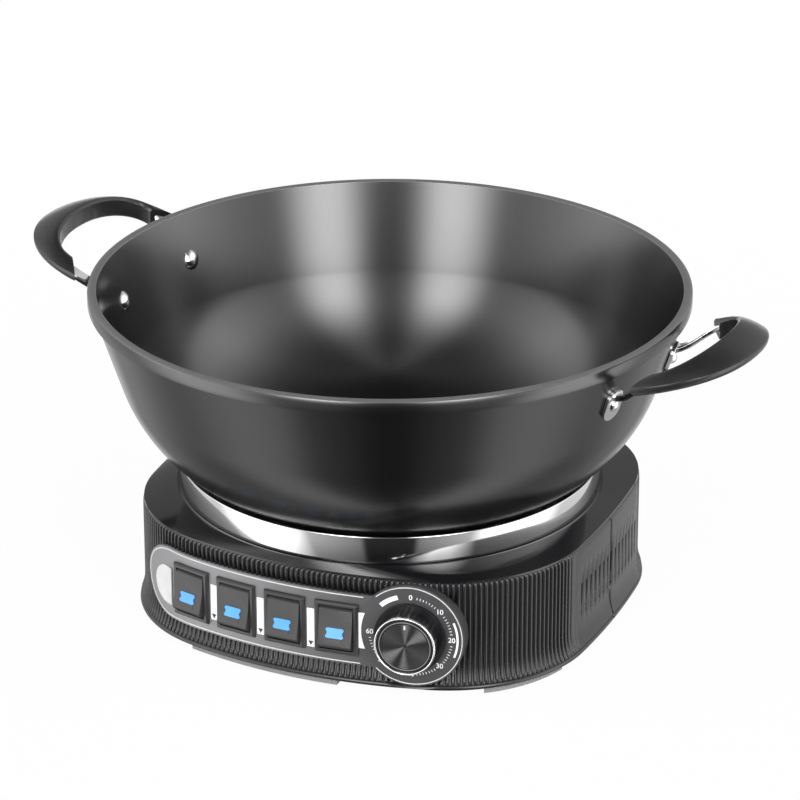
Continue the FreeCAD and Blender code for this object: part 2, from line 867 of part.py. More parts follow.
screws = []
head_seat = mm("screw_head_height") + 0.2 + cover_bottom.value
for where in screw_places:
    head = Part.makeCylinder(mm("screw_head_radius"), mm("screw_head_height"),
                             Vector(where.x, where.y, head_seat - mm("screw_head_height")))
    shank = Part.makeCylinder(mm("screw_radius"), mm("screw_length") + cover_top.value - head_seat,
                              Vector(where.x, where.y, head_seat))
    screws.append(head.fuse(shank))
keep("cover_screws", solid_feature("CoverScrews", Part.makeCompound(screws)))


# Rocker switches: each frame holds a rocker with a lens, on two short pivot pins.
pivot_y = panel_face - mm("bezel_proud") + mm("rocker_pivot_depth")
well_half = mm("rocker_radius") + mm("rocker_gap")


def switch_frame():
    wide = mm("bezel_width")
    high = mm("bezel_height")
    front = panel_face - mm("bezel_proud")
    bevel = mm("bezel_bevel")

    def outline(inset, y):
        x = wide / 2 - inset
        z = high / 2 - inset
        corners = [Vector(-x, y, -z), Vector(x, y, -z), Vector(x, y, z), Vector(-x, y, z)]
        return Part.makePolygon(corners + corners[:1])

    bezel = Part.makeLoft([outline(0, panel_face), outline(0, front + bevel),
                           outline(bevel, front)], True, True)
    body_wide = mm("switch_body_width")
    body_high = mm("switch_body_height")
    body = Part.makeBox(body_wide, mm("switch_body_depth"), body_high,
                        Vector(-body_wide / 2, panel_face, -body_high / 2))
    frame = bezel.fuse(body)
    well_wide = mm("rocker_width") + 2 * mm("rocker_gap")
    well_depth = mm("rocker_pivot_depth") + mm("rocker_radius") + mm("rocker_gap") - 3.0
    well = Part.makeBox(well_wide, well_depth + 5, 2 * well_half,
                        Vector(-well_wide / 2, front - 5, -well_half))
    frame = frame.cut(well)
    hole = Part.makeCylinder(mm("pivot_pin_radius") + mm("pivot_pin_gap"), body_wide - 0.6,
                             Vector(-(body_wide - 0.6) / 2, pivot_y, 0), Vector(1, 0, 0))
    return frame.cut(hole).removeSplitter()


def rocker():
    """The rocker in its middle position, then leaned back so that its lower end stands out."""
    reach = mm("rocker_radius")
    face = mm("rocker_pivot_depth") + mm("rocker_face_height")
    tip = math.sqrt(reach * reach - face * face)
    shoulder = math.sqrt(reach * reach - 4.0)
    dip = mm("rocker_dip")

    def at(y, z):
        return Vector(-mm("rocker_width") / 2, pivot_y + y, z)

    edges = [
        Part.LineSegment(at(-face, -tip + 1), at(-face + dip, 0)).toShape(),
        Part.LineSegment(at(-face + dip, 0), at(-face, tip - 1)).toShape(),
        Part.LineSegment(at(-face, tip - 1), at(-face + 1.4, tip + 0.4)).toShape(),
        Part.LineSegment(at(-face + 1.4, tip + 0.4), at(-2.0, shoulder)).toShape(),
        Part.Arc(at(-2.0, shoulder), at(0, reach), at(2.0, shoulder)).toShape(),
        Part.LineSegment(at(2.0, shoulder), at(6.0, 5.0)).toShape(),
        Part.LineSegment(at(6.0, 5.0), at(6.0, -5.0)).toShape(),
        Part.LineSegment(at(6.0, -5.0), at(2.0, -shoulder)).toShape(),
        Part.Arc(at(2.0, -shoulder), at(0, -reach), at(-2.0, -shoulder)).toShape(),
        Part.LineSegment(at(-2.0, -shoulder), at(-face + 1.4, -tip - 0.4)).toShape(),
        Part.LineSegment(at(-face + 1.4, -tip - 0.4), at(-face, -tip + 1)).toShape(),
    ]
    body = Part.Face(Part.Wire(edges)).extrude(Vector(mm("rocker_width"), 0, 0))
    length = mm("rocker_width") + 2 * mm("pivot_pin_length")
    pins = Part.makeCylinder(mm("pivot_pin_radius"), length, Vector(-length / 2, pivot_y, 0),
                             Vector(1, 0, 0))
    return body.fuse(pins)


def lens():
    """The indicator lens in the lower half of the rocker's face."""
    face = pivot_y - mm("rocker_pivot_depth") - mm("rocker_face_height")
    slope = mm("rocker_dip") / 9.0
    middle = face + mm("rocker_dip") - mm("lens_offset") * slope
    wide = mm("lens_width")
    body = Part.makeBox(wide, mm("lens_depth") + mm("lens_proud"), mm("lens_height"),
                        Vector(-wide / 2, -mm("lens_proud"), -mm("lens_height") / 2))
    tilt = math.degrees(math.atan(slope))
    body.Placement = Placement(Vector(0, middle, -mm("lens_offset")),
                               Rotation(Vector(1, 0, 0), tilt))
    return body


lean = Placement(Vector(0, pivot_y, 0), Rotation(Vector(1, 0, 0), -mm("rocker_throw") / 2))
lean = lean.multiply(Placement(Vector(0, -pivot_y, 0), Rotation()))
lens_shape = lens()
rocker_shape = rocker().cut(lens_shape)
frame_shape = switch_frame()


def set_at(shape, placement):
    """A copy of a shape moved by a placement."""
    return shape.transformed(placement.toMatrix(), True)


for index, station in enumerate(switches, start=1):
    frame_here = set_at(frame_shape, station.placement)
    keep("switch_frame_%d" % index, solid_feature("SwitchFrame%d" % index, frame_here))
    leaned = station.placement.multiply(lean)
    rocker_here = set_at(rocker_shape, leaned)
    lens_here = set_at(lens_shape, leaned)
    keep("rocker_%d" % index, solid_feature("Rocker%d" % index, rocker_here))
    keep("rocker_lens_%d" % index, solid_feature("RockerLens%d" % index, lens_here))


# Timer behind the dial, its spindle, and the knob with its chrome rings.
def on_dial(label, name, shape):
    return keep(label, solid_feature(name, set_at(shape, dial.placement)))


def dial_cylinder(radius, near, far):
    """A cylinder on the dial's axis; distances are measured outwards from the wall."""
    return Part.makeCylinder(radius, far - near, Vector(0, -far, 0), Vector(0, 1, 0))


dial_out = mm("dial_proud")
timer_front = -mm("timer_behind_wall")
timer_back = timer_front - mm("timer_depth")
spindle_end = timer_front - mm("spindle_socket")
knob_back = dial_out + mm("knob_gap")
knob_front = knob_back + mm("knob_height")
knob_floor = knob_front - mm("knob_ring_height")
cap_front = knob_front - mm("knob_cap_recess")

half_timer = mm("timer_width") / 2
timer = Part.makeBox(2 * half_timer, mm("timer_depth"), 2 * half_timer,
                     Vector(-half_timer, -timer_front, -half_timer))
socket = dial_cylinder(mm("spindle_radius") + mm("spindle_gap"), spindle_end - 0.5, 20)
neck = set_at(dial_cylinder(mm("timer_neck_radius"), timer_front - 1, 0), dial.placement)
neck = neck.common(prism(-wall, cover_top.value, wall_top.value))
timer = set_at(timer, dial.placement).fuse(neck).cut(set_at(socket, dial.placement))
keep("timer_body", solid_feature("TimerBody", timer))

spindle_front = knob_floor - mm("knob_wall")
on_dial("timer_spindle", "TimerSpindle",
        dial_cylinder(mm("spindle_radius"), spindle_end, spindle_front))


def knob():
    skirt = dial_cylinder(mm("knob_skirt_radius"), knob_back, knob_back + mm("knob_skirt_height"))
    grip = dial_cylinder(mm("knob_radius"), knob_back, knob_floor)
    body = skirt.fuse(grip)
    flutes = []
    count = int(mm("knob_flutes"))
    for index in range(count):
        angle = 2 * math.pi * index / count
        x = mm("knob_radius") * math.cos(angle)
        z = mm("knob_radius") * math.sin(angle)
        length = knob_floor - knob_back - mm("knob_skirt_height") - 1.0
        flutes.append(Part.makeCylinder(mm("knob_flute_radius"), length,
                                        Vector(x, 1.0 - knob_floor, z), Vector(0, 1, 0)))
    body = body.cut(Part.makeCompound(flutes))
    hollow = dial_cylinder(mm("knob_radius") - mm("knob_wall"), knob_back - 1, knob_floor
                           - mm("knob_wall"))
    hub = dial_cylinder(mm("spindle_radius") + 2.5, knob_back, knob_floor - mm("knob_wall"))
    body = body.cut(hollow.cut(hub))
    return body.cut(dial_cylinder(mm("spindle_radius"), knob_back - 1, spindle_front))


on_dial("timer_knob", "TimerKnob", knob())
ring_hole = mm("knob_radius") - mm("knob_ring_width")
front_ring = dial_cylinder(mm("knob_radius"), knob_floor, knob_front)
front_ring = front_ring.cut(dial_cylinder(ring_hole, knob_floor - 1, knob_front + 1))
on_dial("knob_front_ring", "KnobFrontRing", front_ring.makeChamfer(0.3, front_ring.Edges[:1]))
inner_ring = dial_cylinder(ring_hole, knob_floor, cap_front + 0.2)
inner_ring = inner_ring.cut(dial_cylinder(mm("knob_cap_radius"), knob_floor - 1, knob_front))
on_dial("knob_inner_ring", "KnobInnerRing", inner_ring)
on_dial("knob_cap", "KnobCap", dial_cylinder(mm("knob_cap_radius"), knob_floor, cap_front))


# Power inlet at the back, and the terminal block inside.
def power_inlet():
    margin = mm("inlet_flange_margin")
    back = inlet_centre.y - mm("rib_depth") - 0.4
    flange_wide = inlet_width + 2 * margin - 0.4
    flange_high = inlet_height + 2 * margin - 0.4
    flange = Part.makeBox(flange_wide, mm("inlet_flange"), flange_high,
                          Vector(-flange_wide / 2, back, inlet_centre.z - flange_high / 2))
    body = Part.makeBox(inlet_width - 0.4, mm("inlet_depth"), inlet_height - 0.4,
                        Vector(-inlet_width / 2 + 0.2, back - mm("inlet_depth"),
                               inlet_centre.z - inlet_height / 2 + 0.2))
    thick = mm("inlet_wall")
    room_wide = inlet_width - 2 * thick
    room_high = inlet_height - 2 * thick
    mouth = back + mm("inlet_flange")
    room = Part.makeBox(room_wide, mm("inlet_cavity_depth") + 5, room_high,
                        Vector(-room_wide / 2, mouth - mm("inlet_cavity_depth"),
                               inlet_centre.z - room_high / 2))
    corners = [e for e in room.Edges if abs(e.tangentAt(e.FirstParameter).y) > 0.9]
    room = room.makeChamfer(2.5, corners)
    return flange.fuse(body).cut(room), mouth - mm("inlet_cavity_depth")


inlet_shape, cavity_floor = power_inlet()
keep("power_inlet", solid_feature("PowerInlet", inlet_shape))
pins = []
for x, z in ((-mm("pin_spacing") / 2, -2.0), (mm("pin_spacing") / 2, -2.0), (0.0, 3.0)):
    wide = mm("pin_thickness")
    high = mm("pin_width")
    pins.append(Part.makeBox(wide, mm("pin_length"), high,
                             Vector(x - wide / 2, cavity_floor, inlet_centre.z + z - high / 2)))
keep("inlet_pins", solid_feature("InletPins", Part.makeCompound(pins)))

keep("terminal_block", block("TerminalBlock", cell("terminal_length"), cell("terminal_width"),
                             cell("terminal_height"), 0, 70, cover_top))

# Wok: a flat bottom, one large bend, a straight flared wall and a rolled rim band.
thick = cell("wok_thickness")
rim = cell("rim_radius")
flat = rim * cell("wok_flat_share")
band_low = rim_top - cell("rim_band_height")
wall_out = rim - cell("rim_step")
span_r = wall_out - flat
wall_rise = band_low - wok_bottom
whole_bend = (span_r * span_r + wall_rise * wall_rise) / (2 * wall_rise)
bend = whole_bend * (1 - cell("wok_straight_share"))
bend_centre_z = wok_bottom + bend
span_z = band_low - bend_centre_z
span_squared = span_r * span_r + span_z * span_z
reach = (span_squared - bend * bend).root()
share = bend * bend / span_squared
swing = bend * reach / span_squared
meet_r = share * span_r + swing * span_z
meet_z = share * span_z - swing * span_r
inner_share = (bend - thick) / bend
lean_r = (wall_out - flat - meet_r) / reach
lean_z = (band_low - bend_centre_z - meet_z) / reach
inner_top_r = rim - cell("rim_lip_width")
wall_in_r = wall_out - thick * lean_z
wall_in_z = band_low + thick * lean_r
climb = (inner_top_r - wall_in_r) / lean_r
inner_top_z = wall_in_z + climb * lean_z
edge = cell("rim_edge_bevel")
wok_profile = [
    (0, wok_bottom, None),
    (flat, wok_bottom, bend),
    (flat + meet_r, bend_centre_z + meet_z, None),
    (wall_out, band_low, None),
    (rim, band_low, None),
    (rim, rim_top - edge, None),
    (rim - edge, rim_top, None),
    (inner_top_r, rim_top, None),
    (inner_top_r, inner_top_z, None),
    (flat + meet_r * inner_share, bend_centre_z + meet_z * inner_share, -(bend - thick)),
    (flat, wok_bottom + thick, None),
    (0, wok_bottom + thick, None),
]
wok_blank = turned("WokBlank", wok_profile)
doc.recompute()

# Handles: each has a plastic grip, two steel straps with foot plates, and two rivets.
lean_out = Vector(lean_z.value, 0, -lean_r.value)
rivet_z = rim_top.value - mm("rivet_drop")
rivet_r = wall_out.value - (band_low.value - rivet_z) * lean_r.value / lean_z.value
spread_angle = math.degrees(math.asin(mm("rivet_spread") / rivet_r))
squareness = 2.0 / mm("grip_squareness")


def wall_placement(side_angle):
    """A frame on the wok's outer wall: its local x points out of the wall, its local z up it."""
    turn = Rotation(Vector(0, 0, 1), side_angle)
    tip = Rotation(Vector(0, 1, 0), math.degrees(math.atan2(lean_r.value, lean_z.value)))
    foot = turn.multVec(Vector(rivet_r, 0, rivet_z))
    return Placement(foot, turn.multiply(tip))


def bar(points, wide, high):
    """A bar with bevelled edges through points, wide across y."""
    wires = []
    small = 0.8
    across = Vector(0, 1, 0)
    up = Vector(0, 0, 1)
    for x, y, z in points:
        middle = Vector(x, y, z)
        half = wide / 2
        top = high / 2
        corners = [(half, top - small), (half - small, top), (small - half, top),
                   (-half, top - small), (-half, small - top), (small - half, -top),
                   (half - small, -top), (half, small - top)]
        loop_points = [middle + across * a + up * b for a, b in corners]
        wires.append(Part.makePolygon(loop_points + loop_points[:1]))
    return Part.makeLoft(wires, True, False)


def strap(side):
    """One strap: an oval foot plate on the wall and a bar out into the grip."""
    half_wide = mm("foot_plate_width") / 2
    half_long = mm("foot_plate_length") / 2
    straight = half_long - half_wide
    plate_thick = mm("foot_plate_thickness")
    rounds = []
    for z in (-straight, straight):
        rounds.append(Part.makeCylinder(half_wide, plate_thick, Vector(0.05, 0, z),
                                        Vector(1, 0, 0)))
    middle = Part.makeBox(plate_thick, 2 * half_wide, 2 * straight,
                          Vector(0.05, -half_wide, -straight))
    plate = rounds[0].fuse([rounds[1], middle])
    plate = set_at(plate, wall_placement(side * spread_angle))
    foot = wall_placement(side * spread_angle).multVec(Vector(1.4, 0, straight + 2.4))
    inner, outer = grip_station(side * 90.0)
    end = (inner + outer) * 0.5
    end_z = rim_top.value - mm("strap_end_drop")
    tail = mm("strap_socket_depth")
    line = [
        (foot.x, foot.y, foot.z),
        (foot.x + 7.0, foot.y + (end.y - foot.y) * 0.25, foot.z + 2.6),
        (end.x, end.y, end_z),
        (end.x + tail, end.y - side * tail * 0.12, end_z + mm("strap_tail_rise")),
    ]
    return plate.fuse(bar(line, mm("strap_width"), mm("strap_thickness")))


def grip_station(angle):
    """Where the grip's inner crest and outer edge are at an angle round its loop, in plan."""
    along = math.cos(math.radians(angle))
    across = math.sin(math.radians(angle))
    along = max(along, 0.0) ** squareness
    across = math.copysign(abs(across) ** squareness, across)
    points = []
    for line in ("inner", "outer"):
        start = rim.value + mm("grip_%s_start" % line)
        points.append(Vector(start + mm("grip_%s_reach" % line) * along,
                             mm("grip_%s_spread" % line) * across, 0))
    return points


def grip_section(angle):
    """The grip's section at an angle round its loop: a ridge that falls away outwards."""
    inner, outer = grip_station(angle)
    wide = (outer - inner).Length
    outwards = (outer - inner).normalize()
    climb = (inner.x - rim.value - mm("grip_inner_start")) * mm("grip_slope")
    crest_height = rim_top.value - mm("grip_end_drop") + climb
    deep = mm("grip_inner_height")
    drop = mm("grip_outer_drop")
    edge_height = mm("grip_outer_height")
    small = mm("grip_edge")
    crest = mm("grip_crest_width")

    def at(out, up):
        return inner + outwards * out + Vector(0, 0, crest_height + up)

    top = Part.Arc(at(crest, 0), at(wide * 0.62, -drop * 0.38), at(wide, -drop)).toShape()
    side = Part.Arc(at(wide, -drop), at(wide - 0.4, -drop - edge_height * 0.6),
                    at(wide - 2.4, -drop - edge_height)).toShape()
    under = Part.LineSegment(at(wide - 2.4, -drop - edge_height), at(small, -deep)).toShape()
    rest = [Part.LineSegment(at(small, -deep), at(0, small - deep)).toShape(),
            Part.LineSegment(at(0, small - deep), at(0, -small)).toShape(),
            Part.LineSegment(at(0, -small), at(small, 0)).toShape(),
            Part.LineSegment(at(small, 0), at(crest, 0)).toShape()]
    return Part.Wire([top, side, under] + rest)


def grip():
    """The grip: a rising loop through its sections from one end to the other."""
    count = int(mm("grip_stations"))
    step = 180.0 / (count - 1)
    sections = [grip_section(-90.0 + index * step) for index in range(count)]
    return Part.makeLoft(sections, True, False)


def rivet(side_angle):
    """A rivet: a domed head inside, a shank through the wall, a flat dome outside."""
    inner = mm("wok_thickness") + mm("rivet_inside_seat")
    through = inner + 0.05 + mm("foot_plate_thickness")
    shank = Part.makeCylinder(mm("rivet_shank_radius"), through, Vector(-inner, 0, 0),
                              Vector(1, 0, 0))
    inside = dome(mm("rivet_inside_radius"), mm("rivet_inside_height"))
    inside.Placement = Placement(Vector(-inner, 0, 0), Rotation(Vector(0, 0, 1), 180))
    outside = dome(mm("rivet_outside_radius"), mm("rivet_outside_height"))
    outside.Placement = Placement(Vector(0.05 + mm("foot_plate_thickness"), 0, 0), Rotation())
    return set_at(shank.fuse([inside, outside]), wall_placement(side_angle))


def dome(radius, height):
    """A low dome on the plane x = 0, bulging towards +x."""
    ball_radius = (radius * radius + height * height) / (2 * height)
    ball = Part.makeSphere(ball_radius, Vector(height - ball_radius, 0, 0))
    slab = Part.makeBox(height + 1, 2 * radius + 2, 2 * radius + 2,
                        Vector(0, -radius - 1, -radius - 1))
    return ball.common(slab)


def rivet_hole(side_angle):
    hole = Part.makeCylinder(mm("rivet_shank_radius") + mm("rivet_shank_gap"), 40,
                             Vector(-20, 0, 0), Vector(1, 0, 0))
    return set_at(hole, wall_placement(side_angle))


handle_turns = {"right": mm("handle_turn"), "left": mm("handle_turn") + 180.0}
straps = {side: strap(side) for side in (-1, 1)}
sockets = Part.makeCompound(list(straps.values()))
grip_shape = grip().cut(sockets)
rivets = []
rivet_holes = []
for hand, angle in handle_turns.items():
    turn = Placement(Vector(0, 0, 0), Rotation(Vector(0, 0, 1), angle))
    keep("handle_grip_" + hand, solid_feature("Grip" + hand, set_at(grip_shape, turn)))
    for side in (-1, 1):
        where = "front" if side * math.cos(math.radians(angle)) < 0 else "rear"
        shape = straps[side].cut(rivet_hole(side * spread_angle))
        keep("handle_strap_%s_%s" % (hand, where),
             solid_feature("Strap%s%s" % (hand, where), set_at(shape, turn)))
        rivets.append(set_at(rivet(side * spread_angle), turn))
        rivet_holes.append(set_at(rivet_hole(side * spread_angle), turn))
keep("strap_rivets", solid_feature("StrapRivets", Part.makeCompound(rivets)))
wok = doc.addObject("Part::Cut", "Wok")
wok.Base = wok_blank
wok.Tool = solid_feature("RivetHoles", Part.makeCompound(rivet_holes))
keep("wok_shell", wok)

# Check every object, then write each sub-part to its own file.
doc.recompute()
for item in doc.Objects:
    if "Invalid" in item.State or "Error" in item.State:
        raise RuntimeError("%s did not build: %s" % (item.Label, item.State))
os.makedirs("parts", exist_ok=True)
for item in made:
    shape = item.Shape
    if shape.isNull() or not shape.isValid() or not shape.Solids:
        raise RuntimeError("%s has no valid solid" % item.Label)
    shape.exportStep("parts/%s.step" % item.Label)
    box = shape.BoundBox
    print("%-24s solids %d  volume %9.0f  x %.1f..%.1f  y %.1f..%.1f  z %.1f..%.1f" % (
        item.Label, len(shape.Solids), shape.Volume, box.XMin, box.XMax, box.YMin, box.YMax,
        box.ZMin, box.ZMax))
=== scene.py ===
# Electric wok: finishes, fine pieces, studio and camera.
import json
import math

import bmesh
import bpy
from mathutils import Matrix, Vector


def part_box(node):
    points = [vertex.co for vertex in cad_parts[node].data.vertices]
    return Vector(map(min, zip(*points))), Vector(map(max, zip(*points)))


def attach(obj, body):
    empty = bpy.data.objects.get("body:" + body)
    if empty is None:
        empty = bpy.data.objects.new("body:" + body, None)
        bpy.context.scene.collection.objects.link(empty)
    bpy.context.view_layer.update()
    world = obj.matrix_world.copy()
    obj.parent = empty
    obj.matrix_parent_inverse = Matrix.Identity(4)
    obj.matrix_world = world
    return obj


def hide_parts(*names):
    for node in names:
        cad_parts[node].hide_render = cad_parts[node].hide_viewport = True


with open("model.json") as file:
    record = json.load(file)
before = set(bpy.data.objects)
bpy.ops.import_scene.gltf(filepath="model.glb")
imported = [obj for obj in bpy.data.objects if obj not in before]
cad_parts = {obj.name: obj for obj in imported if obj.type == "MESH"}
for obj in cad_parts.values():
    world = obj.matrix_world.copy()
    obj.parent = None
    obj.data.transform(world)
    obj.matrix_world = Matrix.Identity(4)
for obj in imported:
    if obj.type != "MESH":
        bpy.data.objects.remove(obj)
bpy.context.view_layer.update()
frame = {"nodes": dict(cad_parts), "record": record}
nodes = frame["nodes"]
MM = 0.001

# View of the photo: turned to the right of the front, and looking down.
VIEW_TURN = math.radians(22.42)
VIEW_RISE = math.radians(23.29)
VIEW_DISTANCE = 2306.8 * MM
VIEW_SCALE = 1.757
VIEW_SHIFT = 5.645
VIEW_HEIGHT = 120.9
PHOTO_WIDTH = 800
view_back = Vector((math.sin(VIEW_TURN) * math.cos(VIEW_RISE),
                    -math.cos(VIEW_TURN) * math.cos(VIEW_RISE), math.sin(VIEW_RISE)))
view_right = Vector((math.cos(VIEW_TURN), math.sin(VIEW_TURN), 0))
view_target = view_right * VIEW_SHIFT * MM + Vector((0, 0, VIEW_HEIGHT * MM))


def make_camera():
    """The camera that sees the part as the photo does."""
    lens = bpy.data.cameras.new("photo_camera")
    lens.sensor_width = 36
    lens.lens = VIEW_SCALE * VIEW_DISTANCE / MM * lens.sensor_width / PHOTO_WIDTH
    lens.clip_end = 50
    camera = bpy.data.objects.new("photo_camera", lens)
    camera.location = view_target + view_back * VIEW_DISTANCE
    camera.rotation_euler = (-view_back).to_track_quat("-Z", "Y").to_euler()
    bpy.context.scene.collection.objects.link(camera)
    bpy.context.scene.camera = camera


make_camera()
bpy.context.scene.view_settings.view_transform = "Standard"


class Value:
    """A shader socket that takes part in sums."""

    def __init__(self, finish, socket):
        self.finish = finish
        self.socket = socket

    def joined(self, operation, *others):
        values = dict(enumerate((self,) + others))
        return self.finish.node("ShaderNodeMath", values, operation=operation)

    def __add__(self, other):
        return self.joined("ADD", other)

    def __mul__(self, other):
        return self.joined("MULTIPLY", other)

    def __sub__(self, other):
        return self.joined("SUBTRACT", other)

    def __rsub__(self, other):
        return (self * -1.0) + other

    def __truediv__(self, other):
        return self.joined("DIVIDE", other)

    def above(self, edge, softness):
        """0 well below the edge, 1 well above it."""
        return self.finish.node("ShaderNodeMapRange",
                                {0: self, 1: edge - softness, 2: edge + softness, 3: 0.0, 4: 1.0},
                                interpolation_type="SMOOTHSTEP")


class Finish:
    """A material, or the world, built node by node."""

    def __init__(self, name, holder=None):
        self.data = holder or bpy.data.materials.new(name)
        self.data.use_nodes = True
        self.tree = self.data.node_tree
        self.tree.nodes.clear()

    def node(self, kind, values=None, out=0, **settings):
        made = self.tree.nodes.new(kind)
        for setting, value in settings.items():
            if setting == "stops":
                while len(made.color_ramp.elements) < len(value):
                    made.color_ramp.elements.new(0.5)
                for element, (place, colour) in zip(made.color_ramp.elements, value):
                    element.position = place
                    element.color = (*colour, 1.0)
                continue
            setattr(made, setting, value)
        for socket, value in (values or {}).items():
            target = made.inputs[socket]
            if isinstance(value, Value):
                self.tree.links.new(value.socket, target)
            elif isinstance(value, tuple) and target.type == "RGBA":
                target.default_value = (*value, 1.0)
            else:
                target.default_value = value
        return Value(self, made.outputs[out])

    def place(self):
        return self.node("ShaderNodeTexCoord", out=3)

    def noise(self, size, detail=3.0, stretch=(1, 1, 1)):
        """Noise whose largest features are about size millimetres across."""
        spread = self.node("ShaderNodeMapping", {0: self.place(), 3: stretch})
        return self.node("ShaderNodeTexNoise",
                         {"Vector": spread, "Scale": 1 / (size * MM), "Detail": detail})

    def mixed(self, share, low, high):
        return self.node("ShaderNodeMix", {0: share, 6: low, 7: high}, out=2, data_type="RGBA")

    def bumped(self, height, depth, strength=1.0):
        return self.node("ShaderNodeBump",
                         {"Height": height, "Distance": depth * MM, "Strength": strength})

    def surface(self, **sockets):
        values = {name.replace("_", " "): value for name, value in sockets.items()}
        shader = self.node("ShaderNodeBsdfPrincipled", values)
        end = self.tree.nodes.new("ShaderNodeOutputMaterial")
        self.tree.links.new(shader.socket, end.inputs["Surface"])
        return self.data


def moulded(name, colour, gloss_size, rough, specular=0.5, grain=0.0, coat=0.0):
    """Plastic or print, slightly uneven in colour and shine, with a fine grain if asked."""
    finish = Finish(name)
    cloud = finish.noise(gloss_size)
    base = finish.mixed(cloud, tuple(c * 0.85 for c in colour), tuple(c * 1.15 for c in colour))
    extra = {}
    if grain:
        extra["Normal"] = finish.bumped(finish.noise(0.35, 2.0), grain)
    return finish.surface(Base_Color=base, Roughness=cloud * 0.08 + (rough - 0.04),
                          Specular_IOR_Level=specular, Coat_Weight=coat, **extra)


def metal(name, colour, rough, smear=0.0):
    """Polished or brushed metal; smear is how far its fine lines differ in shine."""
    finish = Finish(name)
    lines = finish.noise(0.6, 2.0, stretch=(0.05, 0.05, 1.0))
    return finish.surface(Base_Color=colour, Metallic=1.0, Roughness=lines * smear + rough)


def panel_lacquer_and_shade():
    """Satin grey, with painted shade that darkens it towards the dial."""
    finish = Finish("panel_lacquer_and_shade")
    x = finish.node("ShaderNodeSeparateXYZ", {0: finish.place()})
    # Painted shade: lighter grey at the left end, darkening to near black towards the dial.
    share = x.above(-10 * MM, 75 * MM)
    base = finish.mixed(share, (0.19, 0.19, 0.195), (0.04, 0.04, 0.042))
    grain = finish.bumped(finish.noise(0.3, 2.0), 0.006)
    return finish.surface(Base_Color=base, Roughness=0.42, Normal=grain)


def rocker_plastic():
    """The rockers' black, with its fine crosswise lines."""
    finish = Finish("rocker_black")
    height = finish.node("ShaderNodeSeparateXYZ", {0: finish.place()}, out=2)
    lines = (height * (2 * math.pi / (0.9 * MM))).joined("SINE")
    rough = finish.noise(0.5, 2.0)
    base = finish.mixed(rough, (0.02, 0.02, 0.021), (0.034, 0.034, 0.035))
    return finish.surface(Base_Color=base, Roughness=rough * 0.1 + 0.38,
                          Normal=finish.bumped(lines + rough * 2.0, 0.02))


def wok_coating_and_rim_reflection():
    """Black and half glossy, with a painted reflection that makes the flat top of the rim paler."""
    finish = Finish("wok_coating_and_rim_reflection")
    height = finish.node("ShaderNodeSeparateXYZ", {0: finish.place()}, out=2)
    cloud = finish.noise(50.0)
    # Painted reflection: the flat top of the rim gets a pale grey base colour in place of the black.
    base = finish.mixed(height.above(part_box("wok_shell")[1][2] - 0.5 * MM, 0.3 * MM),
                        (0.0035, 0.0035, 0.0038), (0.11, 0.11, 0.11))
    return finish.surface(Base_Color=base, Roughness=cloud * 0.05 + 0.2, Specular_IOR_Level=1.0)


wok_black = wok_coating_and_rim_reflection()
black = moulded("housing_plastic", (0.007, 0.007, 0.0075), 40.0, 0.27, specular=0.6)
grey = panel_lacquer_and_shade()
gloss = moulded("deck_gloss", (0.006, 0.006, 0.007), 60.0, 0.09)
steel = metal("polished_steel", (0.74, 0.74, 0.74), 0.07, 0.03)
chrome = metal("bright_chrome", (0.85, 0.85, 0.85), 0.1, 0.02)
plain_metal = metal("zinc_coat", (0.5, 0.5, 0.5), 0.35, 0.1)
grip_black = moulded("grip_plastic", (0.013, 0.013, 0.013), 25.0, 0.27, coat=0.1)
knob_black = moulded("knob_plastic", (0.008, 0.008, 0.009), 10.0, 0.2)
rocker_black = rocker_plastic()
frame_black = moulded("frame_plastic", (0.022, 0.022, 0.023), 12.0, 0.34, grain=0.006)
blue = moulded("blue_lens", (0.07, 0.29, 0.66), 5.0, 0.3)
rubber = moulded("foot_rubber", (0.2, 0.2, 0.2), 8.0, 0.7)
inner_plastic = moulded("inner_plastic", (0.5, 0.47, 0.4), 20.0, 0.5)
white_print = moulded("white_print", (0.8, 0.8, 0.8), 6.0, 0.5)
# Pale print for labels and marks, also used for the painted highlight lines on the edges of the
# faceplate and the dial.
pale_print_and_edge_highlight = moulded("pale_print_and_edge_highlight", (0.55, 0.55, 0.55), 6.0, 0.5)
black_print = moulded("black_print", (0.01, 0.01, 0.01), 6.0, 0.5)
bare = moulded("bare_finish", (0.1, 0.1, 0.1), 20.0, 0.5)
slot_finish = {"housing": black, "panel": grey, "deck": gloss, "stainless": steel, "wok": wok_black,
               "grip": grip_black, "switch": frame_black, "knob": knob_black, "chrome": chrome,
               "lens": blue, "rubber": rubber, "plate": plain_metal, "element": plain_metal,
               "inner_metal": plain_metal, "inner_plastic": inner_plastic}
slots = {entry["node"]: entry["material_slot"] for entry in frame["record"]["subparts"]}
for name, node in nodes.items():
    node.data.materials.clear()
    node.data.materials.append(slot_finish.get(slots[name], bare))


def size_of(node):
    """Lowest and highest corner of a node, in millimetres."""
    return [[value / MM for value in corner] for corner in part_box(node)]


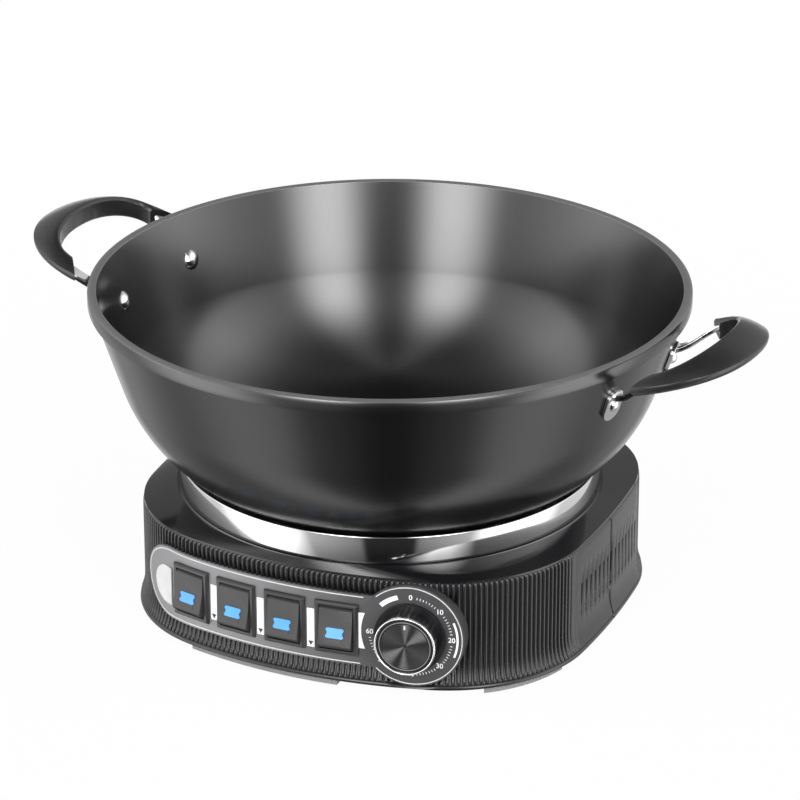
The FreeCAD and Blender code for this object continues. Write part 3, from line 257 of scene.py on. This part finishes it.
def piece(name, shape, finish, body, replaced=(), smooth=35, wall=0.0, bevel=0.0, clean=True):
    """Hangs a finished mesh, drawn in millimetres, on its body, in place of the named nodes."""
    if clean:
        bmesh.ops.remove_doubles(shape, verts=shape.verts, dist=0.001)
        bmesh.ops.recalc_face_normals(shape, faces=shape.faces)
    bmesh.ops.scale(shape, vec=(MM, MM, MM), verts=shape.verts)
    mesh = bpy.data.meshes.new(name)
    shape.to_mesh(mesh)
    shape.free()
    mesh.materials.append(finish)
    mesh.shade_smooth()
    mesh.set_sharp_from_angle(angle=math.radians(smooth))
    made = bpy.data.objects.new(name, mesh)
    bpy.context.scene.collection.objects.link(made)
    if wall:
        thick = made.modifiers.new("wall", "SOLIDIFY")
        thick.thickness = wall * MM
        thick.offset = -1
    if bevel:
        rounding = made.modifiers.new("rounding", "BEVEL")
        rounding.width = bevel * MM
        rounding.segments = 3
        rounding.limit_method = "ANGLE"
        rounding.angle_limit = math.radians(30)
        rounding.harden_normals = True
    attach(made, body)
    if replaced:
        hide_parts(*replaced)
    return made


def refined(node, finish, body, bevel):
    """A node's own shape with its edges rounded."""
    shape = bmesh.new()
    shape.from_mesh(nodes[node].data)
    bmesh.ops.scale(shape, vec=(1 / MM, 1 / MM, 1 / MM), verts=shape.verts)
    bmesh.ops.remove_doubles(shape, verts=shape.verts, dist=0.002)
    bmesh.ops.dissolve_limit(shape, angle_limit=math.radians(1.5), verts=shape.verts,
                             edges=shape.edges)
    return piece("fine_" + node, shape, finish, body, (node,), bevel=bevel, smooth=30)


def turned(profile, steps=128):
    """A shape turned about Z from a closed profile of (radius, height)."""
    shape = bmesh.new()
    points = [shape.verts.new((radius, 0, height)) for radius, height in profile]
    pairs = zip(points, points[1:] + points[:1])
    edges = [shape.edges.new(pair) for pair in pairs
             if pair[0].co.x > 0 or pair[1].co.x > 0]
    bmesh.ops.spin(shape, geom=points + edges, cent=(0, 0, 0), axis=(0, 0, 1),
                   angle=2 * math.pi, steps=steps, use_merge=True)
    return shape


def arc(centre, radius, start, end, count):
    """Points along an arc; angles in degrees."""
    points = []
    for index in range(count + 1):
        angle = math.radians(start + (end - start) * index / count)
        points.append((centre[0] + radius * math.cos(angle),
                       centre[1] + radius * math.sin(angle)))
    return points


# Plan of the base, as four bowed sides joined by four corner arcs.
HALF_WIDTH = 133.0
HALF_DEPTH = 127.9
SETBACK = 4.3
CORNER = 82.5
FRONT_BOW = 268.0
SIDE_BOW = 590.0


class Plan:
    """The outline of the base seen from above, measured anticlockwise along the wall."""

    def __init__(self):
        front = FRONT_BOW - HALF_DEPTH
        side = SIDE_BOW - HALF_WIDTH
        self.arcs = []
        first, second = FRONT_BOW - CORNER, SIDE_BOW - CORNER
        apart = math.hypot(side, front)
        along = (first ** 2 - second ** 2 + apart ** 2) / (2 * apart)
        off = math.sqrt(first ** 2 - along ** 2)
        x = (-side * along + front * off) / apart
        y = -front + (front * along + side * off) / apart
        front_half = math.atan2(x, y + front)
        side_half = math.atan2(y, x + side)
        quarter = math.pi / 2
        rows = ((-side, 0, SIDE_BOW, side_half), (0, -front, FRONT_BOW, front_half),
                (side, 0, SIDE_BOW, side_half), (0, front, FRONT_BOW, front_half))
        signs = ((1, 1), (-1, 1), (-1, -1), (1, -1))
        for turn, ((cx, cy, radius, half), (sx, sy)) in enumerate(zip(rows, signs)):
            middle = turn * quarter
            self.arcs.append((cx, cy + SETBACK, radius, middle - half, middle + half))
            following = front_half if turn % 2 == 0 else side_half
            self.arcs.append((sx * x, SETBACK + sy * y, CORNER, middle + half,
                              middle + quarter - following))
        self.length = sum(row[2] * (row[4] - row[3]) for row in self.arcs)

    def at(self, distance, offset):
        """The point a distance along the wall from the middle of the right side."""
        left = distance % self.length + self.arcs[0][2] * self.arcs[0][4]
        for cx, cy, radius, start, end in self.arcs + self.arcs[:1]:
            length = radius * (end - start)
            if left <= length:
                angle = start + left / radius
                return (cx + (radius + offset) * math.cos(angle),
                        cy + (radius + offset) * math.sin(angle))
            left -= length
        raise ValueError("beyond the outline")

    def front(self, reach, offset):
        """The point a reach to the right of the middle of the front."""
        return self.at(self.length * 0.75 + reach, offset)


plan = Plan()


def eased(value, low, high):
    """0 below low, 1 above high, and smooth between."""
    share = min(max((value - low) / (high - low), 0.0), 1.0)
    return share * share * (3 - 2 * share)


def skin(columns, rows, at):
    """A sheet of columns by rows whose points are where at(column, row) says."""
    shape = bmesh.new()
    wide = len(columns) - 1
    high = len(rows) - 1
    bmesh.ops.create_grid(shape, x_segments=wide, y_segments=high, size=0.5)
    for vertex in shape.verts:
        column = round((vertex.co.x + 0.5) * wide)
        row = round((vertex.co.y + 0.5) * high)
        vertex.co = at(columns[column], rows[row])
    return shape


# Ribbed wall, with its flared foot, its bead and its vents.
RIBS = 284
RIB_DEPTH = 1.5
RIB_SHAPE = ((0.0, -1.0), (0.14, -0.9), (0.25, -0.3), (0.36, -0.04), (0.5, 0.0),
             (0.64, -0.04), (0.75, -0.3), (0.86, -0.9))
VENTS = 15
VENT_PITCH = 6.4
VENT_SHIFT = 2.7
VENT_HALF = 1.1
VENT_LOW = 26.0
VENT_HIGH = 46.5
PANEL_LOW = 18.0
PANEL_HIGH = 57.5
DIAL_REACH = 61.6
DIAL_Z = 37.7
DIAL_CLEAR = 29.0
DIAL_FLARE = 33.5
VENT_MARGIN = 0.4
RIB_FADE = 22.0
HOUSING_SHEET = 1.6
# Limits of the openings in the wall.
INLET_HALF = 14.0
PANEL_LEFT_END = -96.0
PANEL_RIGHT_END = 84.0
PANEL_BACK = -70.0
VENT_SIDE = 100.0
VENT_LEAST = 1.9
VENT_MOST = 2.4
VENT_NEAR = 0.3
# Rows of the wall: height, how far it stands out, and its share of the grooves' depth.
WALL_ROWS = ((5.0, -1.2, 0.0), (5.0, 2.0, 0.0), (5.4, 2.7, 0.0), (6.2, 3.0, 0.0), (7.0, 2.9, 0.0),
             (7.6, 2.5, 0.0), (7.9, 1.9, 0.0), (8.3, 2.3, 0.5), (8.8, 2.6, 1.0), (10.5, 2.0, 1.0),
             (12.5, 1.4, 1.0), (15.0, 0.75, 1.0), (PANEL_LOW, 0.25, 1.0), (22.0, 0.0, 1.0),
             (VENT_LOW, 0.0, 1.0), (VENT_HIGH, 0.0, 1.0), (PANEL_HIGH, 0.0, 1.0), (65.0, 0.0, 1.0),
             (67.2, -0.1, 1.0), (68.2, -0.4, 0.9), (68.8, -0.9, 0.6), (69.0, -1.6, 0.2),
             (69.0, -2.4, 0.0))


def vent_middles():
    """Where the middle of each vent lies along the wall, on both sides."""
    middles = []
    half = plan.length / 2
    for index in range(VENTS):
        along = (index - (VENTS - 1) / 2) * VENT_PITCH + VENT_SHIFT
        middles.append(along % plan.length)
        middles.append(half - along)
    return middles


def vent_distance(distance):
    """How far a place is outside the nearer band of vents; negative inside it."""
    half = plan.length / 2
    right = (distance + half) % plan.length - half - VENT_SHIFT
    left = distance - half + VENT_SHIFT
    return min(abs(right), abs(left)) - (VENTS - 1) / 2 * VENT_PITCH - VENT_HALF


def wall_columns():
    """Places along the wall, each with how deep its groove is."""
    pitch = plan.length / RIBS
    columns = []
    for rib in range(RIBS):
        for share, depth in RIB_SHAPE:
            distance = (rib + share) * pitch
            outside = vent_distance(distance)
            if outside > VENT_MARGIN:
                columns.append((distance, depth * eased(outside, VENT_MARGIN, RIB_FADE)))
    for middle in vent_middles():
        columns += [((middle + side * VENT_HALF) % plan.length, 0.0) for side in (-1, 1)]
    columns.sort()
    return columns + [(plan.length, columns[0][1])]


def wall_point(column, row):
    """Where a column and a row of the wall meet; the flare stops short of the dial."""
    distance, groove = column
    height, offset, share = row
    reach = distance - plan.length * 0.75
    from_dial = math.hypot(reach - DIAL_REACH, height - DIAL_Z)
    flare = offset * eased(from_dial, DIAL_CLEAR, DIAL_FLARE) if offset > 0 else offset
    x, y = plan.at(distance, flare + groove * RIB_DEPTH * share)
    return x, y, height


vent_places = [plan.at(middle, 0.0)[1] for middle in vent_middles()]


def is_open(face):
    """Faces inside a vent, behind the faceplate or in the power inlet."""
    middle = face.calc_center_median()
    if VENT_LOW < middle.z < VENT_HIGH and abs(middle.x) < INLET_HALF and middle.y > 0:
        return True
    behind_panel = middle.y < PANEL_BACK and PANEL_LEFT_END < middle.x < PANEL_RIGHT_END
    if PANEL_LOW < middle.z < PANEL_HIGH and behind_panel:
        return True
    if not VENT_LOW < middle.z < VENT_HIGH or abs(middle.x) < VENT_SIDE:
        return False
    edges = [vertex.co.y for vertex in face.verts]
    wide_enough = max(edges) - min(edges) > VENT_LEAST
    small_enough = face.calc_area() < VENT_MOST * (VENT_HIGH - VENT_LOW)
    return wide_enough and small_enough and any(abs(middle.y - y) < VENT_NEAR for y in vent_places)


def make_wall():
    """The ribbed wall with its vents and openings cut, as a sheet given its thickness."""
    shape = skin(wall_columns(), WALL_ROWS, wall_point)
    bmesh.ops.remove_doubles(shape, verts=shape.verts, dist=0.001)
    bmesh.ops.recalc_face_normals(shape, faces=shape.faces)
    openings = [face for face in shape.faces if is_open(face)]
    bmesh.ops.delete(shape, geom=openings, context="FACES")
    piece("ribbed_wall", shape, black, "base", ("base_housing",), wall=HOUSING_SHEET, clean=False,
          smooth=50)


make_wall()

# Wok and support ring.
wok_low, wok_high = size_of("wok_shell")
RIM = wok_high[0]
WALL_THICK = 2.5
RIM_BAND = 8.0
RIM_STEP = 2.7
FLAT_SHARE = 0.34
STRAIGHT_SHARE = 0.087
# The rim's lip: how far in from the rim, and how far below its top.
RIM_LIP = ((0.9, RIM_BAND), (0.25, 7.7), (0.0, 7.0), (0.0, 1.2), (0.3, 0.4), (1.1, 0.0),
           (4.4, 0.0), (5.0, 0.3), (5.3, 1.0))
RING_INNER = 112.5
RING_SHEET = 0.8
ROUND_STEPS = 192


def make_wok():
    """The bowl, turned from a flat bottom, one bend and the banded rim."""
    flat = FLAT_SHARE * RIM
    wall_out = RIM - RIM_STEP
    rise = wok_high[2] - RIM_BAND - wok_low[2]
    span = wall_out - flat
    bend = (span ** 2 + rise ** 2) / (2 * rise) * (1 - STRAIGHT_SHARE)
    centre = (flat, wok_low[2] + bend)
    to_top = math.hypot(span, rise - bend)
    swing = math.degrees(math.acos(bend / to_top))
    meet = math.degrees(math.atan2(rise - bend, span)) - swing
    outside = arc(centre, bend, -90, meet, 40)
    inside = arc(centre, bend - WALL_THICK, meet, -90, 40)
    top = wok_high[2]
    rim = [(wall_out, top - RIM_BAND)]
    rim += [(RIM - inset, top - drop) for inset, drop in RIM_LIP]
    profile = [(0, wok_low[2])] + outside + rim + inside + [(0, wok_low[2] + WALL_THICK)]
    piece("wok_bowl", turned(profile, ROUND_STEPS), wok_black, "wok", ("wok_shell",), smooth=28)


make_wok()
ring_low, ring_high = size_of("support_ring")


def make_ring():
    """The polished ring, a thin pan with a rounded upper edge."""
    outer = ring_high[0]
    profile = [(RING_INNER, ring_low[2]), (outer - 1.0, ring_low[2]), (outer - 0.3, ring_low[2] + 0.3),
               (outer, ring_low[2] + 1.0), (outer, ring_high[2] - 0.5)]
    profile += arc((outer - 0.4, ring_high[2] - 0.4), 0.4, 0, 180, 6)
    inside = ring_low[2] + RING_SHEET
    profile += [(outer - RING_SHEET, inside), (RING_INNER, inside)]
    piece("steel_ring", turned(profile, ROUND_STEPS), steel, "base", ("support_ring",))


make_ring()
for hand in ("left", "right"):
    refined("handle_grip_" + hand, grip_black, "wok", 0.9)
    for end in ("front", "rear"):
        refined("handle_strap_%s_%s" % (hand, end), steel, "wok", 0.4)
for index in range(1, 5):
    refined("switch_frame_%d" % index, frame_black, "base", 0.35)
    refined("rocker_%d" % index, rocker_black, "rocker_%d_body" % index, 0.45)
refined("control_panel", grey, "base", 0.3)

# Stations on the front wall.
PANEL_PROUD = 1.2
DIAL_PROUD = 2.4


def station(reach, turn=None):
    """Place and directions at a reach along the front: x to the right, y inwards, z up."""
    x, y = plan.front(reach, 0.0)
    x2, y2 = plan.front(reach, 1.0)
    angle = math.atan2(x2 - x, y - y2) if turn is None else turn
    return Matrix.Translation((x, y, DIAL_Z)) @ Matrix.Rotation(angle, 4, "Z")


dial = station(DIAL_REACH, math.radians(8.0))
OUTWARDS = Matrix.Rotation(math.radians(90), 4, "X")


def placed(shape, matrix):
    """The shape, moved by the matrix."""
    bmesh.ops.transform(shape, matrix=matrix, verts=shape.verts)
    return shape


def plate(outline, thick):
    """A flat plate through (across, up) points, standing out from the plane y = 0."""
    shape = bmesh.new()
    face = shape.faces.new([shape.verts.new((x, 0, z)) for x, z in outline])
    made = bmesh.ops.extrude_face_region(shape, geom=[face])
    moved = [item for item in made["geom"] if isinstance(item, bmesh.types.BMVert)]
    bmesh.ops.translate(shape, vec=(0, -thick, 0), verts=moved)
    return shape


def on_panel(name, outline, reach, finish, thick=0.16, lift=0.0):
    """A plate laid on the faceplate at a reach along the front."""
    shape = plate(outline, thick)
    where = station(reach) @ Matrix.Translation((0, -PANEL_PROUD - lift, 0))
    return piece(name, placed(shape, where), finish, "base", smooth=20)


def ring_band(inner, outer, start, end, count=24):
    """Outline of part of a ring; angles clockwise from the top, in degrees."""
    path = arc((0, 0), outer, 90 - start, 90 - end, count)
    return path + arc((0, 0), inner, 90 - end, 90 - start, count)


# Bare label plates on the faceplate, each with its small arrow.
STRIP_TOP = 9.0
STRIP_LOW = -14.5
SWITCH_PITCH = 30.8
SWITCH_LAST = 19.8
LABEL_HALF = 2.2
ARROW_HALF = 1.5
ARROW_TIP = 0.8
ARROW_BASE = 3.6


def make_labels():
    """Three narrow plates between the switches and a round-sided one at the left end."""
    for index in range(3):
        reach = SWITCH_LAST - SWITCH_PITCH * (index + 0.5)
        low = STRIP_LOW + index
        strip = [(-LABEL_HALF, low), (LABEL_HALF, low), (LABEL_HALF, STRIP_TOP),
                 (-LABEL_HALF, STRIP_TOP)]
        on_panel("strip_label_%d" % index, strip, reach, white_print)
        arrow = [(-ARROW_HALF, low + ARROW_BASE), (0, low + ARROW_TIP),
                 (ARROW_HALF, low + ARROW_BASE)]
        on_panel("strip_arrow_%d" % index, arrow, reach, black_print, lift=0.16, thick=0.06)
    moon = [(9.2, -13.2), (9.2, 9.6)] + arc((4.4, -1.8), 11.4, 90, 270, 20)
    on_panel("round_label", moon, -97.5, pale_print_and_edge_highlight, thick=0.6)


make_labels()


def on_dial(name, outline, finish, thick=0.12):
    """A plate laid on the dial's disc."""
    where = dial @ Matrix.Translation((0, -DIAL_PROUD, 0))
    return piece(name, placed(plate(outline, thick), where), finish, "base", smooth=20)


def turned_on_dial(name, profile, finish, body, replaced=()):
    """A turned shape whose axis is the dial's, with its heights outwards."""
    shape = placed(turned(profile, 96), dial @ OUTWARDS)
    return piece(name, shape, finish, body, replaced)


def lettering(words, high):
    """Flat letters, centred, as a mesh standing on the plane y = 0."""
    curve = bpy.data.curves.new("letters", "FONT")
    curve.body = words
    curve.size = high / 0.69
    curve.align_x = "CENTER"
    curve.align_y = "CENTER"
    curve.extrude = 0.06
    curve.offset = 0.03
    holder = bpy.data.objects.new("letters", curve)
    bpy.context.scene.collection.objects.link(holder)
    bpy.context.view_layer.update()
    mesh = bpy.data.meshes.new_from_object(holder)
    bpy.data.objects.remove(holder)
    shape = bmesh.new()
    shape.from_mesh(mesh)
    bpy.data.meshes.remove(mesh)
    return placed(shape, OUTWARDS)


NUMBER_RADIUS = 23.2
NUMBER_HIGH = 2.9
MINUTES = 60
MINUTE_TURN = 4.5
TICK_INNER = 22.6
TICK_OUTER = 23.9
TICK_HALF_TURN = 0.4


def make_dial_print():
    """A plain number every ten minutes, with ticks between, and the bare marks of the dial."""
    for index in range(MINUTES // 10 + 1):
        angle = math.radians(10 * MINUTE_TURN * index)
        place = (NUMBER_RADIUS * math.sin(angle), -DIAL_PROUD, NUMBER_RADIUS * math.cos(angle))
        shape = placed(lettering(str(10 * index), NUMBER_HIGH), dial @ Matrix.Translation(place))
        piece("dial_number_%d" % (10 * index), shape, white_print, "base", smooth=20)
    for minute in range(MINUTES + 1):
        if min(minute % 10, 10 - minute % 10) < 2:
            continue
        turn = MINUTE_TURN * minute
        band = ring_band(TICK_INNER, TICK_OUTER, turn - TICK_HALF_TURN, turn + TICK_HALF_TURN, 1)
        on_dial("dial_tick_%02d" % minute, band, white_print)
    on_dial("dial_arc", ring_band(26.0, 27.1, 66, 112), white_print, 0.3)
    on_dial("dial_label", ring_band(22.4, 25.0, -45, -18), white_print, 0.14)


make_dial_print()
# Painted highlight: a pale band round the dial's bulge standing in for the light on its bevelled edge.
on_dial("painted_dial_edge_highlight", ring_band(28.9, 29.4, -42, 222, 90), pale_print_and_edge_highlight, 0.3)
side_label = [(-30.4, -10.8), (-30.4, 10.8)] + arc((0, 0), 28.0, 157.3, 202.7, 12)
on_dial("dial_side_label", side_label, white_print, 0.16)

# Blue lenses: each a low block with a pinched waist, set in the rocker's lower half.
PIVOT_IN = 0.6
ROCKER_LEAN = math.radians(-10.0)
FACE_TILT = math.radians(5.08)
ROCKER_FACE = -5.4
LENS_SUNK = 1.2
LENS_BED = ((-4.31, -2.9), (4.31, -2.9), (4.31, 2.9), (-4.31, 2.9))
LENS_CORNER = ((5.2, 1.4), (5.2, 2.2), (4.5, 2.9))
LENS_WAIST = (4.5, 0.9)


def make_lenses():
    """A dark bed in place of each node's lens, and the blue lens above it."""
    for index in range(4):
        rocker = "rocker_%d" % (index + 1)
        reach = SWITCH_LAST - SWITCH_PITCH * (3 - index)
        pivot = Matrix.Translation((0, PIVOT_IN, 0))
        leaned = station(reach) @ pivot @ Matrix.Rotation(ROCKER_LEAN, 4, "X")
        side = [LENS_WAIST] + list(LENS_CORNER)
        outline = side + [(-x, z) for x, z in reversed(side)]
        outline += [(-x, -z) for x, z in side] + [(x, -z) for x, z in reversed(side)]
        for name, z, out, shape, finish, taken in (
                ("lens_bed_", -5.6, 0.02, LENS_BED, rocker_black,
                 ("rocker_lens_%d" % (index + 1),)),
                ("blue_lens_", -3.0, 0.45, outline, blue, ())):
            inwards = ROCKER_FACE + FACE_TILT * z
            where = leaned @ Matrix.Translation((0, inwards + LENS_SUNK, z))
            where = where @ Matrix.Rotation(-FACE_TILT, 4, "X")
            piece(name + rocker, placed(plate(shape, LENS_SUNK + out), where), finish,
                  rocker + "_body", taken, smooth=20)


make_lenses()

# The knob's face: radii of its rings, and its front measured out from the wall.
KNOB_BACK = 2.9
KNOB_HEIGHT = 13.6
KNOB_RADIUS = 17.2
RIM_RING_INNER = 16.2
BAND_INNER = 14.5
LINE_OUTER = 14.6
CAP_RADIUS = 14.2
FACE_SUNK = 1.6
GROOVES = 13
GROOVE_FIRST = 13.6
knob_front = KNOB_BACK + KNOB_HEIGHT
knob_back_plane = knob_front - FACE_SUNK


def make_knob_face():
    """Chrome rings round a cap with fine ring grooves and a short index mark."""
    ring = [(RIM_RING_INNER, knob_back_plane), (KNOB_RADIUS, knob_back_plane),
            (KNOB_RADIUS, knob_front - 0.5)]
    ring += arc((16.7, knob_front - 0.5), 0.5, 0, 180, 6)
    turned_on_dial("knob_rim_ring", ring, chrome, "timer_dial", ("knob_front_ring",))
    band = [(BAND_INNER, knob_back_plane), (RIM_RING_INNER, knob_back_plane),
            (RIM_RING_INNER, knob_front - 0.9), (BAND_INNER, knob_front - 0.9)]
    turned_on_dial("knob_black_band", band, knob_black, "timer_dial", ("knob_inner_ring",))
    line = [(CAP_RADIUS, knob_front - 1.2), (LINE_OUTER, knob_front - 1.2),
            (LINE_OUTER, knob_front - 0.6), (CAP_RADIUS, knob_front - 0.6)]
    turned_on_dial("knob_line_ring", line, chrome, "timer_dial")
    grooves = [(0, knob_back_plane), (CAP_RADIUS, knob_back_plane),
               (CAP_RADIUS, knob_front - 0.8)]
    for index in range(GROOVES):
        radius = GROOVE_FIRST - index
        grooves += [(radius, knob_front - 0.72), (radius - 0.5, knob_front - 1.05)]
    grooves.append((0, knob_front - 0.8))
    turned_on_dial("knob_grooved_cap", grooves, knob_black, "timer_dial", ("knob_cap",))
    mark = [(-0.5, 10.2), (0.5, 10.2), (0.5, 12.6), (-0.5, 12.6)]
    where = dial @ Matrix.Translation((0, -(knob_front - 0.75), 0))
    piece("knob_mark", placed(plate(mark, 0.15), where), pale_print_and_edge_highlight, "timer_dial")


make_knob_face()


# Painted highlight of the faceplate's bevelled edge, drawn as a fine raised pale line round the
# faceplate: across and out for each corner of its section.
PANEL_HALF = 21.6
PANEL_LEFT = -109.0
LINE_INSET = 1.3
LINE_END = 35
LINE_STEP = 5
LINE_SECTION = ((-0.28, 0.0), (-0.28, 0.22), (0.28, 0.22), (0.28, 0.0))


def make_panel_edge_highlight():
    """The line follows the faceplate's straight edges and its round left end."""
    half = PANEL_HALF - LINE_INSET
    centre = PANEL_LEFT + PANEL_HALF
    path = [(LINE_END, half)]
    path += [(x, half) for x in range(LINE_END - LINE_STEP, int(centre), -LINE_STEP)]
    path += arc((centre, 0), half, 90, 270, 40)
    path += [(x, -half) for x in range(int(centre) + LINE_STEP, LINE_END, LINE_STEP)]

    def at(index, side):
        x, z = path[index]
        before = path[max(index - 1, 0)]
        after = path[min(index + 1, len(path) - 1)]
        along = Vector((after[0] - before[0], after[1] - before[1])).normalized()
        shifted = Vector((x, z)) + Vector((along.y, -along.x)) * side[0]
        point = plan.front(reach_of(shifted.x), PANEL_PROUD + side[1])
        return point[0], point[1], DIAL_Z + shifted.y

    shape = skin(list(range(len(path))), LINE_SECTION, at)
    # The pale colour of this line is a painted highlight of the faceplate's bevelled edge.
    piece("painted_panel_highlight", shape, pale_print_and_edge_highlight, "base", smooth=60)


def reach_of(x):
    """Distance along the front wall whose point has this x."""
    low, high = -160.0, 160.0
    for _ in range(40):
        middle = (low + high) / 2
        if plan.front(middle, PANEL_PROUD)[0] < x:
            low = middle
        else:
            high = middle
    return low


make_panel_edge_highlight()


# Studio round the object: place by azimuth, 0 at the camera and 1 behind the object, and how light.
LOW_PATTERN = ((0.0, 0.01), (0.075, 0.01), (0.09, 0.1), (0.25, 0.22), (0.34, 1.0), (0.46, 1.0),
               (0.6, 0.3), (0.82, 0.3), (0.84, 0.05), (0.86, 0.3), (1.0, 0.5))
HIGH_PATTERN = ((0.0, 0.03), (0.05, 0.05), (0.11, 1.0), (0.17, 1.0), (0.25, 0.1), (0.5, 0.3),
                (0.75, 0.1), (1.0, 0.03))
HIGH_LEVEL = 5.2
CEILING_FALL = 6.9
DEEP_LEVEL = 1.7
LEAST_LEVEL = 0.95


def grey_stops(pattern):
    return [(place, (level, level, level)) for place, level in pattern]


def make_world():
    """White to the camera, and a patterned studio to everything else."""
    world = bpy.data.worlds.new("studio")
    bpy.context.scene.world = world
    room = Finish("studio", world)
    end = room.tree.nodes.new("ShaderNodeOutputWorld")
    camera_ray = room.node("ShaderNodeLightPath")
    direction = room.node("ShaderNodeTexCoord", out=0)
    parts = room.tree.nodes.new("ShaderNodeSeparateXYZ")
    room.tree.links.new(direction.socket, parts.inputs[0])
    x = Value(room, parts.outputs[0])
    y = Value(room, parts.outputs[1])
    # Azimuth away from the camera's, from -1 to 1 for half a turn each way.
    near = x * math.sin(VIEW_TURN) + y * -math.cos(VIEW_TURN)
    side = x * math.cos(VIEW_TURN) + y * math.sin(VIEW_TURN)
    azimuth = side.joined("ARCTAN2", near) / math.pi
    spread = azimuth.joined("ABSOLUTE")
    ramp = room.node("ShaderNodeValToRGB", {0: spread}, stops=grey_stops(LOW_PATTERN))
    above = room.node("ShaderNodeValToRGB", {0: spread}, stops=grey_stops(HIGH_PATTERN))
    height = Value(room, parts.outputs[2])
    light = room.mixed(height.above(-0.05, 0.12), ramp, above)
    ceiling = height.above(0.72, 0.22)
    deep = height.above(-0.62, 0.18)
    upper = height.above(-0.05, 0.12) * (HIGH_LEVEL - ceiling * CEILING_FALL)
    strength = upper + deep * DEEP_LEVEL + LEAST_LEVEL
    pattern = room.node("ShaderNodeBackground", {0: light, 1: strength})
    white = room.node("ShaderNodeBackground", {0: (1.0, 1.0, 1.0), 1: 1.0})
    both = room.node("ShaderNodeMixShader", {0: camera_ray, 1: pattern, 2: white})
    room.tree.links.new(both.socket, end.inputs[0])


FLOOR_HALF = 6.0
FLOOR_WHITE = 0.965


def make_floor():
    """Pale paper that takes the object's shadow and is left out of reflections."""
    mesh = bpy.data.meshes.new("floor")
    shape = bmesh.new()
    bmesh.ops.create_grid(shape, x_segments=1, y_segments=1, size=FLOOR_HALF)
    shape.to_mesh(mesh)
    floor = bpy.data.objects.new("floor", mesh)
    bpy.context.scene.collection.objects.link(floor)
    paint = Finish("floor_paper")
    lit = paint.node("ShaderNodeBsdfDiffuse", {0: (0.8, 0.8, 0.8)})
    own = paint.node("ShaderNodeEmission", {0: (1.0, 1.0, 1.0), 1: 1.0})
    camera_ray = paint.node("ShaderNodeLightPath")
    both = paint.node("ShaderNodeMixShader", {0: camera_ray * FLOOR_WHITE, 1: lit, 2: own})
    end = paint.tree.nodes.new("ShaderNodeOutputMaterial")
    paint.tree.links.new(both.socket, end.inputs[0])
    mesh.materials.append(paint.data)
    floor.visible_glossy = False


make_world()
make_floor()
